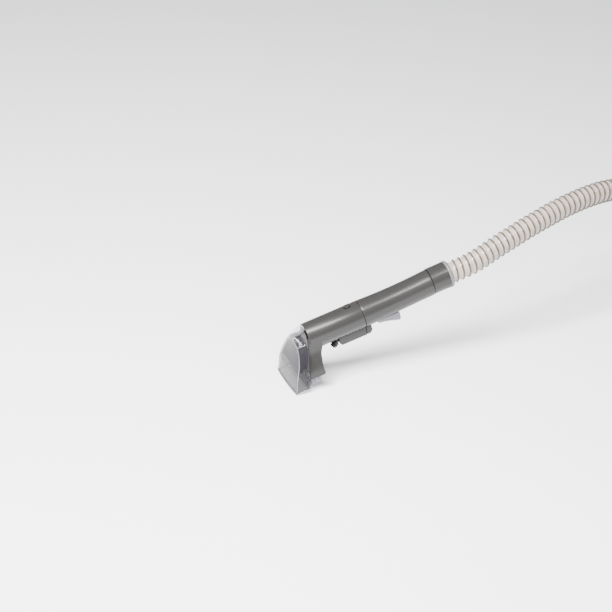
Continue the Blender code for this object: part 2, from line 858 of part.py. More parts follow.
def bell_half(z, inset):
    """Half the width of the nozzle's bell outline at a height."""
    shoulder = HEAD_BOTTOM + 0.007
    peak = NOZZLE_TOP + 0.003
    drop = BELL_DROP * NOZZLE_HALF_WIDTH * inset
    up = min(0.999, max(0.0, (z + drop - shoulder) / (peak - shoulder)))
    return max(NOZZLE_HALF_WIDTH * (1 - up * up) ** 0.9 - inset, 0.0012)


def nozzle_front(z):
    return BARREL_FRONT + between(z, [(row[0], row[1]) for row in NOZZLE_STATIONS])


def nozzle_rear(z):
    return BARREL_FRONT + between(z, [(row[0], row[2]) for row in NOZZLE_STATIONS])


def bell(name, inset, low, high, front, rear, finish=None, cutter=False):
    """A bell-shaped block, wide at the foot; its front and rear faces follow the height."""
    heights = [low] + [z for z in BELL_HEIGHTS if low + 0.0004 < z < high - 0.0004] + [high]
    rings = []
    for z in heights:
        y = bell_half(z, inset)
        rings.append(
            [
                Vector((front(z), -y, z)),
                Vector((rear(z), -y, z)),
                Vector((rear(z), y, z)),
                Vector((front(z), y, z)),
            ]
        )
    return loft(name, rings, finish, cutter)


BELL_HEIGHTS = sorted(
    {row[0] for row in NOZZLE_STATIONS}
    | {row[0] for row in HEAD_STATIONS}
    | {NOZZLE_TOP - drop for drop in (0.0015, 0.0035, 0.006, 0.009, 0.017, 0.026)}
)
LINER_BOTTOM = -0.030
LINER_WALL = 0.0014
PORT_BOTTOM = HEAD_BOTTOM + 0.003


def clear_nozzle():
    """The smoky clear suction nozzle, open at its mouth and at its rear port."""
    clear = clear_plastic()
    shell = bell("clear_nozzle", 0, NOZZLE_LIP, NOZZLE_TOP, nozzle_front, nozzle_rear, clear)
    chamber = bell(
        "nozzle_chamber",
        NOZZLE_WALL,
        NOZZLE_LIP - 0.003,
        NOZZLE_TOP - NOZZLE_WALL,
        lambda z: nozzle_front(z) + NOZZLE_WALL,
        lambda z: nozzle_rear(z) - NOZZLE_WALL,
        cutter=True,
    )
    port = bell(
        "nozzle_port",
        NOZZLE_WALL + 0.0003,
        PORT_BOTTOM,
        NOZZLE_TOP - NOZZLE_WALL - 0.0003,
        lambda z: nozzle_rear(z) - 2 * NOZZLE_WALL,
        lambda z: nozzle_rear(z) + 0.004,
        cutter=True,
    )
    cut(shell, chamber, port)
    return shade(shell)


def nozzle_liner(finish):
    """The dark funnel inside the nozzle, which spreads the suction across the mouth."""
    outer = NOZZLE_WALL + 0.0006
    inner = outer + LINER_WALL
    top = NOZZLE_TOP - outer - 0.0004
    liner = bell(
        "nozzle_liner",
        outer,
        LINER_BOTTOM,
        top,
        lambda z: nozzle_front(z) + outer,
        lambda z: nozzle_rear(z) - 0.0004,
        finish,
    )
    hollow = bell(
        "liner_hollow",
        inner,
        LINER_BOTTOM - 0.002,
        top - LINER_WALL,
        lambda z: nozzle_front(z) + inner,
        lambda z: nozzle_rear(z) + 0.004,
        cutter=True,
    )
    cut(liner, hollow)
    return shade(liner)


def nozzle_gasket():
    """The dark seal between the nozzle and the front body."""
    gasket = bell(
        "nozzle_gasket",
        0.0014,
        PORT_BOTTOM,
        NOZZLE_TOP - 0.0010,
        lambda z: nozzle_rear(z) + CLEARANCE,
        lambda z: BARREL_FRONT + min(head_front(z), 0.0) - CLEARANCE,
        black_rubber(),
    )
    opening = bell(
        "gasket_opening",
        0.0046,
        PORT_BOTTOM + 0.0034,
        NOZZLE_TOP - 0.0042,
        lambda z: nozzle_rear(z) - 0.004,
        lambda z: BARREL_FRONT + 0.004,
        cutter=True,
    )
    cut(gasket, opening)
    return shade(gasket)


def barrel_seal():
    """A face seal between the spigot's end and the step in the front tube."""
    ring = sleeve(0.0012, 0, BORE_RADIUS - CLEARANCE, THROAT_RADIUS - 0.0012)
    shade(turned("barrel_seal", ring, black_rubber(), (BORE_STEP + CLEARANCE, 0, 0), sides=SIDES))


def lower_housing(finish):
    """The box under the front tube that carries the solution tube and the spray tip."""
    front = SEAM - 0.0420
    bottom = -BARREL_RADIUS - HOUSING_DEPTH
    rear = SEAM - CLEARANCE / 2
    outline = [
        (front, -0.012),
        (front, bottom + 0.0050),
        (front + 0.0050, bottom),
        (rear, bottom),
        (rear, -0.012),
    ]
    inner = [
        (front + 0.0018, -0.010),
        (front + 0.0018, bottom + 0.0052),
        (front + 0.0058, bottom + 0.0018),
        (rear + 0.002, bottom + 0.0018),
        (rear + 0.002, -0.010),
    ]
    housing = plate("lower_housing", outline, HOUSING_HALF, finish)
    round_edges(housing, 0.0016)
    hollow = plate("housing_hollow", inner, HOUSING_HALF - 0.0020, cutter=True)
    radius = BARREL_RADIUS + CLEARANCE
    saddle = cylinder(
        "housing_saddle", (SEAM - 0.02, 0, 0), (1, 0, 0), radius, 0.12, cutter=True, sides=SIDES
    )
    exit_hole = cylinder("spray_hole", spray_place(0), spray_axis(), 0.0030, 0.016, cutter=True)
    cut(housing, hollow, saddle, exit_hole)
    return shade(housing)


SPRAY_Z = -BARREL_RADIUS - HOUSING_DEPTH * 0.66


def spray_axis():
    return Vector((-cos(SPRAY_PITCH), 0, -sin(SPRAY_PITCH)))


def spray_place(along):
    return Vector((SEAM - 0.0424, 0, SPRAY_Z + 0.0012)) + spray_axis() * along


def spray_tip():
    """The black ribbed jet at the front of the housing, with its nut."""
    profile = [
        (0.0078, 0.0016),
        (0.0078, 0.0030),
        (0.0068, 0.0040),
        (0.0062, 0.0034),
        (0.0054, 0.0034),
        (0.0048, SPRAY_TIP_RADIUS),
        (0.0036, SPRAY_TIP_RADIUS),
        (0.0030, 0.0036),
        (0.0022, 0.0036),
        (0.0016, SPRAY_TIP_RADIUS),
        (0.0004, SPRAY_TIP_RADIUS),
        (0.0004, 0.0026),
        (-0.0030, 0.0026),
        (-0.0030, 0.0008),
        (0.0066, 0.0008),
    ]
    shade(turned("spray_tip", profile, black_rubber(), spray_place(0.0026), spray_axis(), 24))


def front_solution_tube():
    """From the coupling at the seam, along the housing, to the spray tip."""
    end = spray_place(-0.0024)
    points = [
        Vector((SEAM - 0.0062, 0, COUPLING_Z)),
        Vector((SEAM - 0.0200, 0, COUPLING_Z)),
        Vector((end.x + 0.0060, 0, COUPLING_Z + 0.0002)),
        end,
    ]
    tube("front_solution_tube", smooth_line(points, 0.004), TUBE_RADIUS, pale_plastic())


COUPLING_Z = -BARREL_RADIUS - HOUSING_DEPTH * 0.52
BLOCK_LENGTH = 0.0092


def coupling():
    """The nipple on the front tool, its ring, and the socket block under the grip."""
    nipple = [
        (0.0100, 0.0016),
        (0.0094, 0.0022),
        (0.0024, 0.0022),
        (0.0024, 0.0026),
        (0, 0.0026),
        (0, 0.0008),
        (0.0100, 0.0008),
    ]
    place = (SEAM - 0.0058, 0, COUPLING_Z)
    shade(turned("solution_nipple", nipple, pale_plastic(), place, sides=20))
    ring = sleeve(0.0010, 0, 0.0028, 0.0022 + CLEARANCE)
    shade(turned("nipple_ring", ring, black_rubber(), (SEAM - 0.0030, 0, COUPLING_Z), sides=20))


def coupling_block(finish):
    """The block under the grip, with a round rear corner, that the nipple plugs into."""
    near = SEAM + CLEARANCE / 2
    far = SEAM + BLOCK_LENGTH
    bottom = -BARREL_RADIUS - HOUSING_DEPTH
    corner = 0.0062
    arc = [
        (far - corner + corner * sin(a), bottom + corner - corner * cos(a))
        for a in (0, pi / 8, pi / 4, 3 * pi / 8, pi / 2)
    ]
    outline = [(near, -0.012), (near, bottom), *arc, (far, -0.012)]
    block = plate("coupling_block", outline, HOUSING_HALF, finish)
    radius = max(BARREL_RADIUS, grip_radius(far)) + CLEARANCE
    saddle = cylinder(
        "block_saddle", (SEAM, 0, 0), (1, 0, 0), radius, 0.06, cutter=True, sides=SIDES
    )
    place = (near + 0.0012, 0, COUPLING_Z)
    socket = cylinder("block_socket", place, (1, 0, 0), 0.0024, 0.0072, cutter=True)
    bore = TUBE_RADIUS + CLEARANCE
    mouth = (PORT_X, 0, 0.0005 - BARREL_RADIUS)
    port = cylinder("block_port", mouth, (0, 0, 1), bore, 0.0034, cutter=True)
    cut(block, saddle, socket, port)
    return shade(block)


SCREW_SPOTS = {"brush_screw_left": (1, 6), "brush_screw_right": (1, 2)}  # row, tuft


def brush():
    """The bristle strip under the head, and the screws that hold it."""
    front = BARREL_FRONT + HEAD_STATIONS[-1][1] + WALL + CLEARANCE
    rear = BARREL_FRONT + HEAD_STATIONS[-1][2] - WALL - CLEARANCE
    half = HEAD_STATIONS[-1][3] - WALL - CLEARANCE - 0.0018
    low, high = HEAD_BOTTOM + 0.0004, HEAD_BOTTOM + 0.0030
    strip = loft(
        "brush_strip",
        [oblong_ring(z, front + 0.0006, rear - 0.0016, half, 0.0028) for z in (low, high)],
        bristle(),
    )
    first, last = front + 0.0030, rear - 0.0040
    spread = half - 0.0030

    def tuft_place(row, i):
        x = first + (last - first) * row / (TUFT_ROWS - 1)
        return Vector((x, -spread + 2 * spread * i / (TUFTS_IN_ROW - 1), low))

    build = bmesh.new()
    hang = Vector((0, 0, 0.0006 - TUFT_LENGTH / 2))
    for row in range(TUFT_ROWS):
        for i in range(TUFTS_IN_ROW):
            if (row, i) in SCREW_SPOTS.values():
                continue
            bmesh.ops.create_cone(
                build,
                cap_ends=True,
                segments=6,
                radius1=TUFT_RADIUS * 1.15,
                radius2=TUFT_RADIUS,
                depth=TUFT_LENGTH,
                matrix=Matrix.Translation(tuft_place(row, i) + hang),
            )
    mesh = bpy.data.meshes.new("tufts")
    build.to_mesh(mesh)
    build.free()
    join(strip, add("tufts", mesh, None, cutter=True))
    for name, spot in SCREW_SPOTS.items():
        place, up = tuft_place(*spot), (0, 0, 1)
        bore, head = SCREW_RADIUS + CLEARANCE, SCREW_HEAD + CLEARANCE
        hole = cylinder(name + "_hole", place, up, bore, 0.02, cutter=True)
        sink = cylinder(name + "_sink", place, up, head, 0.0028, cutter=True)
        cut(strip, hole, sink)
        profile = [
            (0.0100, 0),
            (0.0100, 0.0004),
            (0.0090, SCREW_RADIUS),
            (0.0010, SCREW_RADIUS),
            (0.0010, SCREW_HEAD),
            (0, SCREW_HEAD),
            (0, 0),
        ]
        shade(turned(name, profile, steel(), place + Vector((0, 0, 0.0001)), up, 16))
    shade(strip)


# Hose -----------------------------------------------------------------------------
# Its route is chosen by hand in the upright frame: it leaves the collar, rises a little,
# comes down to the floor, runs out, folds once and comes back beside itself.
TIE_UNDER = 0.0008            # the strap, where the hose lies on it
LAID = FLOOR + HOSE_DIAMETER / 2 + TIE_UNDER + 2 * CLEARANCE
PLUGGED = FLOOR + CONNECTOR_RADIUS + CLEARANCE
HOSE_ROUTE = (
    (0.172, 0.0085, 0.0545),
    (0.232, 0.0215, 0.0715),
    (0.296, 0.0370, 0.0830),
    (0.360, 0.0530, 0.0840),
    (0.424, 0.0680, 0.0690),
    (0.482, 0.0810, 0.0370),
    (0.536, 0.0910, -0.0060),
    (0.594, 0.0990, -0.0480),
    (0.656, 0.1030, -0.0760),
    (0.728, 0.1050, LAID),
    (0.830, 0.1060, LAID),
    (0.930, 0.1065, LAID),
    (1.010, 0.1060, LAID),
    (1.063, 0.0918, LAID),
    (1.1018, 0.0530, LAID),
    (1.116, 0.0, LAID),
    (1.1018, -0.0530, LAID),
    (1.063, -0.0918, LAID),
    (1.010, -0.1050, LAID),
    (0.957, -0.0925, LAID),
    (0.910, -0.0585, LAID),
    (0.870, -0.0105, LAID),
    (0.826, 0.0340, LAID),
    (0.776, 0.0610, LAID),
    (0.720, 0.0690, LAID),
    (0.672, 0.0690, LAID + 0.0006),
    (0.622, 0.0688, PLUGGED - 0.0004),
    (0.592, 0.0688, PLUGGED),
)


def hose_route():
    z = axis_height(GRIP_END + COLLAR_LENGTH / 2)
    start = in_row(HOSE_START + 2 * CLEARANCE, 0, z)
    ahead = in_row(HOSE_START + 0.035, 0, z + 0.0006)
    return smooth_line([start, ahead] + [Vector(point) for point in HOSE_ROUTE], 0.060)


def hose():
    route = hose_route()
    tube("hose", route, HOSE_DIAMETER / 2, hose_plastic(), parent=False, resolution=3)
    return route


def frame_along(start, toward, name):
    """An empty at start, its z axis along a level direction."""
    made = bpy.data.objects.new(name, None)
    parts.objects.link(made)
    made.location = start
    made.rotation_euler = (pi / 2, 0, atan2(toward.y, toward.x) + pi / 2)
    return made


def connector(route):
    """The plug that joins the hose to the machine, with its seal."""
    end = route[-1]
    ahead = (route[-1] - route[-2]).normalized()
    frame = frame_along(end, ahead, "connector_frame")
    frame.location.z = PLUGGED
    length = CONNECTOR_LENGTH
    neck = HOSE_DIAMETER / 2 + 0.0018
    plug = 0.0182
    body = [
        (length, plug - 0.0004),
        (length * 0.55, plug),
        (length * 0.55, CONNECTOR_RADIUS),
        (length * 0.18, CONNECTOR_RADIUS),
        (0.0018, neck),
        (0.0008, neck - 0.0010),
        (0.0008, 0.0120),
        (length * 0.5, 0.0132),
        (length, 0.0150),
    ]
    up = (0, 0, 1)
    made = shade(turned("hose_connector", body, dark_plastic(), (0, 0, 0), up, SIDES))
    made.parent = frame
    seal = sleeve(0.0032, 0, 0.0203, plug + CLEARANCE)
    place = (0, 0, length * 0.66)
    ring = shade(turned("connector_seal", seal, black_rubber(), place, up, SIDES))
    ring.parent = frame


TIE_X = 0.733
TIE_WIDTH = 0.022
TIE_THICK = 0.0020
TIE_SLACK = 0.0022


def nearest(route, place):
    """The point of the route's straight pieces nearest to a place."""
    best = None
    for a, b in zip(route, route[1:]):
        span = b - a
        share = min(1.0, max(0.0, (place - a).dot(span) / span.length_squared))
        point = a + span * share
        if best is None or (point - place).length < (best - place).length:
            best = point
    return best


def tie(route):
    """A strap round the two runs of the folded hose, thin where the hose lies on it."""
    out = nearest(route, Vector((TIE_X, 0.105, LAID)))
    back = nearest(route, Vector((TIE_X, 0.067, LAID)))
    centre = (out.y + back.y) / 2
    reach = abs(out.y - back.y) / 2

    def ring(x, grow, under):
        radius = HOSE_DIAMETER / 2 + grow
        low = -HOSE_DIAMETER / 2 - under
        points = []
        for side in (1, -1):
            for i in range(9):
                a = pi / 2 - pi * i / 8
                y = centre + side * (reach + radius * cos(a))
                points.append(Vector((x, y, LAID + max(low, side * radius * sin(a)))))
        return points

    ends = (TIE_X - TIE_WIDTH / 2, TIE_X + TIE_WIDTH / 2)
    under = TIE_UNDER + CLEARANCE
    outside = [ring(x, TIE_SLACK + TIE_THICK, under) for x in ends]
    inside = [ring(x, TIE_SLACK, CLEARANCE) for x in (ends[0] - 0.01, ends[1] + 0.01)]
    strap = loft("hose_tie", outside, black_rubber())
    strap.parent = None
    hole = loft("tie_hole", inside, cutter=True)
    hole.parent = None
    cut(strap, hole)
    shade(strap)


# ----------------------------------------------------------------------------------
def main():
    start_scene()
    dark = dark_plastic()
    grip_shell("handle_left_shell", 1, dark)
    grip_shell("handle_right_shell", -1, dark)
    handle_ducts(dark)
    handle_screws()
    collar(dark)
    coupling_block(dark)
    valve()
    inlet_tube()
    outlet_tube()
    trigger()
    front_body(dark)
    lock_button(dark)
    clear_nozzle()
    nozzle_liner(dark)
    nozzle_gasket()
    barrel_seal()
    lower_housing(dark)
    spray_tip()
    front_solution_tube()
    coupling()
    brush()
    route = hose()
    connector(route)
    tie(route)


if __name__ == "__main__":
    main()
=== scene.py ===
"""Visual model of a carpet cleaner's spray-suction hand tool and its ribbed hose.

The pieces are laid out in the tool's own frame: x runs along the handle from the nozzle
(-x) to the hose (+x), x = 0 is the middle of the grip and z is up from the handle.  The
whole tool is then tipped by TILT, so that the lip of the nozzle stands on the floor.
Lengths are metres.
"""

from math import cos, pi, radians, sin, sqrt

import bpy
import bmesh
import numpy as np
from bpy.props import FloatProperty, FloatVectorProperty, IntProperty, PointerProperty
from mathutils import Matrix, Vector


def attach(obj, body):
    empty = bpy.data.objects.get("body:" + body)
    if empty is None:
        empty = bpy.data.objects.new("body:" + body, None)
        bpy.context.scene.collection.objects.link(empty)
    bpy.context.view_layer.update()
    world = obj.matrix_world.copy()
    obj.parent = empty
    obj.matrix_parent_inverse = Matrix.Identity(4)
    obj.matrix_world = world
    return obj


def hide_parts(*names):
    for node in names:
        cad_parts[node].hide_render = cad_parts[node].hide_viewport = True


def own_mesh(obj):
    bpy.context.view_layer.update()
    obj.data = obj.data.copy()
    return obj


bl_info = {
    "name": "Carpet Cleaner Hand Tool",
    "version": (1, 0),
    "blender": (4, 5, 0),
    "location": "View3D > Sidebar > Hand Tool",
    "description": "Builds a spray-suction hand tool with a clear nozzle and a ribbed hose",
    "category": "Add Mesh",
}

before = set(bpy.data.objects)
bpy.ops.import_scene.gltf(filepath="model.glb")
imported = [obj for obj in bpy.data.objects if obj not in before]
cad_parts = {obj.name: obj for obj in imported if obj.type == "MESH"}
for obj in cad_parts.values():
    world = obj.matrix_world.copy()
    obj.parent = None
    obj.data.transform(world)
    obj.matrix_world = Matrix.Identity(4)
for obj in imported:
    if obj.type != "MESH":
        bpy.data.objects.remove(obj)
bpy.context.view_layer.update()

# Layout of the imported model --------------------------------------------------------
TILT = radians(14.5)
CLEARANCE = 0.0003
SEAM = -0.0555                # front tube and grip meet here
GRIP_END = 0.0555
COLLAR_END = 0.0822
HOSE_START = 0.0872
BARREL_FRONT = -0.1407
HANDLE_RISE = 0.0052
BARREL_RADIUS = 0.0205
BORE_RADIUS = 0.0180
THROAT_RADIUS = 0.0165
BORE_STEP = -0.0794
COLLAR_RADIUS = 0.0194
SHELL_WALL = 0.0025
PARTING = 0.00045              # half the gap that shows at a seam
SEAM_CHAMFER = 0.0002
HEAD_BOTTOM = -0.0470
NOZZLE_LIP = -0.0584
NOZZLE_TOP = 0.0130
NOZZLE_HALF = 0.0376
PIVOT = (-0.035964, 0.0, -0.0146)
VALVE_X = PIVOT[0] + 0.0135    # the plunger, above the trigger's arm
PORT_X = SEAM + 0.0048         # where the solution goes down through the grip
BUTTON_X = -0.0715
SEAT_FLOOR = 0.0191
HOUSING_HALF = 0.0110
HOUSING_BOTTOM = -0.0303
SPRAY_PITCH = radians(38)
SPRAY_AIM = Vector((-cos(SPRAY_PITCH), 0, -sin(SPRAY_PITCH)))
SPRAY_SPOT = Vector((-0.0979, 0.0, -0.025768))
SCREWS = (-0.043124, 0.0111, 0.0444)
SCREW_DROP = 0.0143

# height, front, rear and half-width of the head, and how much further back it flares; the
# front and the rear are measured from the tube's front
HEAD_STATIONS = (
    (0.008, -0.0010, 0.0190, 0.0165, 0.0),
    (-0.008, -0.0070, 0.0172, 0.0207, 0.0),
    (-0.020, -0.0125, 0.0100, 0.0240, 0.0008),
    (-0.033, -0.0172, 0.0056, 0.0298, 0.0016),
    (HEAD_BOTTOM, -0.0186, 0.0032, 0.0345, 0.0034),
)
# height, front face and rear face of the clear nozzle
NOZZLE_STATIONS = (
    (NOZZLE_LIP, -0.0450, -0.0240),
    (HEAD_BOTTOM, -0.0412, -0.0206),
    (-0.035, -0.0372, -0.0196),
    (-0.019, -0.0290, -0.0142),
    (-0.008, -0.0243, -0.0092),
    (0.0007, -0.0216, -0.0062),
    (NOZZLE_TOP, -0.0205, -0.0080),
)


def in_row(x, y, z):
    """A point of the tool's own frame in the upright frame."""
    return Matrix.Rotation(-TILT, 3, "Y") @ Vector((x, y, z))


FLOOR = in_row(BARREL_FRONT + NOZZLE_STATIONS[0][1], 0, NOZZLE_LIP).z
HOSE_DIAMETER = 0.0335
CONNECTOR_RADIUS = 0.0215
LAID = FLOOR + HOSE_DIAMETER / 2 + 0.0014
PLUGGED = FLOOR + CONNECTOR_RADIUS + CLEARANCE
PLUG_PLACE = (0.592, 0.0688, PLUGGED)
HOSE_KNOTS = (
    (0.172, 0.0085, 0.0545),
    (0.232, 0.0215, 0.0715),
    (0.296, 0.0370, 0.0830),
    (0.360, 0.0530, 0.0840),
    (0.424, 0.0680, 0.0690),
    (0.482, 0.0810, 0.0370),
    (0.536, 0.0910, -0.0060),
    (0.594, 0.0990, -0.0480),
    (0.656, 0.1030, -0.0760),
    (0.728, 0.1050, LAID),
    (0.830, 0.1060, LAID),
    (0.930, 0.1065, LAID),
    (1.010, 0.1060, LAID),
    (1.063, 0.0918, LAID),
    (1.1018, 0.0530, LAID),
    (1.116, 0.0, LAID),
    (1.1018, -0.0530, LAID),
    (1.063, -0.0918, LAID),
    (1.010, -0.1050, LAID),
    (0.957, -0.0925, LAID),
    (0.910, -0.0585, LAID),
    (0.870, -0.0105, LAID),
    (0.826, 0.0340, LAID),
    (0.776, 0.0610, LAID),
    (0.720, 0.0690, LAID),
    (0.672, 0.0690, LAID + 0.0006),
    (0.622, 0.0688, PLUGGED - 0.0004),
    PLUG_PLACE,
)


# What a user may change ------------------------------------------------------------
def length(name, description, value, low, high):
    return FloatProperty(
        name=name, description=description, default=value, min=low, max=high, unit="LENGTH"
    )


class HandToolSizes(bpy.types.PropertyGroup):
    """Sizes of the fine detail."""

    rib_pitch: length(
        "Rib Pitch", "From one turn of the hose's wire to the next", 0.0095, 0.005, 0.02
    )
    wire_radius: length(
        "Wire Radius", "Radius of the spiral wire on the hose", 0.00125, 0.0004, 0.002
    )
    edge_round: length(
        "Edge Rounding", "Rounding of the moulded edges", 0.0005, 0.0001, 0.001
    )
    nozzle_bulge: length(
        "Nozzle Bulge", "How far the nozzle's front face bows forwards", 0.0015, 0.0, 0.003
    )
    bristles: IntProperty(
        name="Bristles", description="Bristles in each tuft of the brush",
        default=30, min=6, max=60,
    )
    bristle_radius: length("Bristle Radius", "Radius of one bristle", 0.00024, 0.0001, 0.0004)


def colour(name, description, value):
    return FloatVectorProperty(
        name=name, description=description, subtype="COLOR", size=3,
        default=value, min=0.0, max=1.0,
    )


class HandToolColours(bpy.types.PropertyGroup):
    """Colours of the moulded parts."""

    body: colour("Body", "Grey of the moulded body", (0.025, 0.0238, 0.0230))
    nozzle: colour("Nozzle", "Smoke tint of the clear nozzle", (0.024, 0.0225, 0.026))
    trigger: colour("Trigger", "Pale tint of the trigger", (0.140, 0.128, 0.152))
    hose: colour("Hose", "Tint of the hose's clear wall", (0.47, 0.40, 0.34))
    wire: colour("Wire", "The hose's spiral wire", (0.050, 0.037, 0.030))
    bristle: colour("Bristle", "The brush's nylon", (0.42, 0.415, 0.48))
    floor: colour("Floor", "The plain floor", (0.82, 0.825, 0.835))


def sizes():
    return bpy.context.scene.hand_tool_sizes


def colours():
    return bpy.context.scene.hand_tool_colours


# Node trees ------------------------------------------------------------------------
class Nodes:
    """A node tree with short ways to add and join nodes."""

    def add(self, kind, settings=(), **inputs):
        node = self.tree.nodes.new(kind)
        for key, value in dict(settings).items():
            setattr(node, key, value)
        for key, value in inputs.items():
            self.join(value, node.inputs[key.replace("_", " ")])
        return node

    def join(self, value, socket):
        if isinstance(value, bpy.types.NodeSocket):
            self.tree.links.new(value, socket)
        else:
            socket.default_value = value

    def maths(self, operation, first, second=0.0):
        node = self.add("ShaderNodeMath", {"operation": operation})
        self.join(first, node.inputs[0])
        self.join(second, node.inputs[1])
        return node.outputs[0]


# Materials -------------------------------------------------------------------------
class Finish(Nodes):
    """A Principled material with a few helpers for its pattern nodes."""

    def __init__(self, name, base, roughness, **values):
        self.made = bpy.data.materials.new(name)
        self.made.use_nodes = True
        self.tree = self.made.node_tree
        self.shader = self.tree.nodes["Principled BSDF"]
        values = {"Base_Color": (*base, 1), "Roughness": roughness, **values}
        for socket, value in values.items():
            self.shader.inputs[socket.replace("_", " ")].default_value = value
        place = self.add("ShaderNodeTexCoord").outputs["Object"]
        turn = self.add("ShaderNodeMapping", Vector=place, Rotation=(0, TILT, 0))
        self.place = turn.outputs["Vector"]

    def noise(self, scale, detail=3.0, roughness=0.55, stretch=None):
        place = self.place
        if stretch:
            place = self.add("ShaderNodeMapping", Vector=place, Scale=stretch).outputs[0]
        made = self.add(
            "ShaderNodeTexNoise", Vector=place, Scale=scale, Detail=detail, Roughness=roughness
        )
        return made.outputs["Fac"]

    def ramp(self, fac, low, high, start=0.3, stop=0.7):
        """A value or a colour that goes from low to high as fac goes from start to stop."""
        made = self.add("ShaderNodeValToRGB", Fac=fac)
        for stop_at, value, element in zip((start, stop), (low, high), made.color_ramp.elements):
            element.position = stop_at
            element.color = (*value, 1) if hasattr(value, "__len__") else (value,) * 3 + (1,)
        return made.outputs["Color"]

    def feed(self, socket, source):
        self.tree.links.new(source, self.shader.inputs[socket])

    def bump(self, height, strength, distance, **after):
        made = self.add(
            "ShaderNodeBump", Height=height, Strength=strength, Distance=distance, **after
        )
        return made.outputs["Normal"]

    def pattern(self, base, tint=None, gloss=None, grain=None):
        """Noise for the colour, the roughness and the surface: its settings and its two ends."""
        if tint:
            low, high = (tinted(base, end) if isinstance(end, float) else end for end in tint[1:])
            self.feed("Base Color", self.ramp(self.noise(*tint[0]), low, high))
        if gloss:
            self.feed("Roughness", self.ramp(self.noise(*gloss[0]), *gloss[1:]))
        if grain:
            self.feed("Normal", self.bump(self.noise(*grain[0]), *grain[1:]))
        return self.made


def tinted(base, factor):
    return tuple(min(1.0, channel * factor) for channel in base)


def scatter(*radius):
    return {"Subsurface_Radius": radius, "Subsurface_Scale": 1.0}


CLEAR = {"Coat_Weight": 0.5, "Coat_Roughness": 0.05, "IOR": 1.58}
# base (or the name of the user's colour), roughness, noise for the colour, the roughness and
# the surface, and the shader's other values
LOOKS = {
    "smoky_clear_plastic": (
        "nozzle", 0.07, ((55, 4, 0.55, (1.0, 1.0, 0.2)), 0.92, 1.10), ((160, 5), 0.05, 0.14),
        ((45, 3), 0.08, 0.0006),
        {"Alpha": 0.52, "Coat_Weight": 0.08, "Coat_Roughness": 0.04, "IOR": 1.46,
         "Specular_IOR_Level": 0.32}),
    # the nozzle's plastic where it is thick and gathers the light, and where it is thin
    "clear_plastic_edge": (
        (0.30, 0.30, 0.32), 0.12, ((140, 4), (0.20, 0.20, 0.22), (0.38, 0.38, 0.40)),
        ((200, 3), 0.08, 0.20), None, {"Alpha": 0.80, **CLEAR}),
    "thin_clear_plastic": (
        (0.30, 0.30, 0.33), 0.10, ((90, 4), (0.26, 0.26, 0.29), (0.36, 0.36, 0.39)),
        ((160, 4), 0.06, 0.16), None, {"Alpha": 0.26, **CLEAR}),
    "pale_trigger_plastic": (
        "trigger", 0.28, ((60, 4), 0.94, 1.06), ((180, 4), 0.22, 0.36),
        ((2500, 2), 0.10, 0.00005),
        {"Subsurface_Weight": 0.35, "Coat_Weight": 0.3, "Coat_Roughness": 0.1,
         **scatter(0.004, 0.004, 0.005)}),
    "soft_black_rubber": (
        (0.022, 0.022, 0.024), 0.62, ((140, 5), 1.0, (0.040, 0.039, 0.040)),
        ((90, 3), 0.52, 0.72), ((1700, 3), 0.35, 0.0001), {"Sheen_Weight": 0.15}),
    "stainless_steel": (
        (0.60, 0.60, 0.61), 0.26, ((220, 3), (0.54, 0.54, 0.55), (0.66, 0.66, 0.66)),
        ((900, 4, 0.55, (0.08, 1.0, 1.0)), 0.20, 0.38),
        ((900, 4, 0.55, (0.08, 1.0, 1.0)), 0.12, 0.00006), {"Metallic": 1.0}),
    "nylon_bristle": (
        "bristle", 0.30, ((700, 3), 0.9, 1.1), ((400, 2), 0.24, 0.42), None,
        {"Transmission_Weight": 0.25, "Subsurface_Weight": 0.3,
         **scatter(0.002, 0.002, 0.002)}),
    "clear_hose_wall": (
        "hose", 0.20, ((120, 5, 0.6), 0.84, 1.14), ((260, 4), 0.14, 0.30),
        ((420, 3), 0.20, 0.0003),
        {"Alpha": 0.62, "Coat_Weight": 0.7, "Coat_Roughness": 0.08, "Specular_IOR_Level": 0.6,
         "Subsurface_Weight": 0.15, **scatter(0.004, 0.003, 0.002)}),
    "brown_wire_coat": (
        "wire", 0.36, ((240, 4), 0.8, 1.35), ((500, 3), 0.28, 0.46), ((900, 3), 0.18, 0.0001),
        {"Coat_Weight": 0.35, "Coat_Roughness": 0.15}),
    "solution_line_plastic": (
        (0.70, 0.62, 0.42), 0.28, ((60, 4), 0.88, 1.15), ((300, 3), 0.22, 0.38), None,
        {"Subsurface_Weight": 0.3, "Coat_Weight": 0.4, **scatter(0.003, 0.002, 0.001)}),
    "pale_floor": ("floor", 0.75, ((1.5, 2), 0.99, 1.01), None, None,
                   {"Specular_IOR_Level": 0.2}),
}
# base, roughness and coat of the moulded plastics
MOULDED = {
    "jet_black_plastic": ((0.006, 0.006, 0.0065), 0.52, 0.0),
    "white_solution_plastic": ((0.72, 0.72, 0.70), 0.35, 0.15),
    "spigot_grey": ((0.060, 0.060, 0.062), 0.42, 0.15),
    "end_ring_grey": ((0.110, 0.108, 0.112), 0.40, 0.15),
    "duct_grey": ((0.055, 0.055, 0.058), 0.45, 0.15),
    "liner_dark": ((0.020, 0.020, 0.028), 0.42, 0.15),
    "stitch_thread": ((0.09, 0.09, 0.10), 0.7, 0.15),
}


def from_table(name):
    base, roughness, tint, gloss, grain, values = LOOKS[name]
    base = tuple(getattr(colours(), base)) if isinstance(base, str) else base
    return Finish(name, base, roughness, **values).pattern(base, tint, gloss, grain)


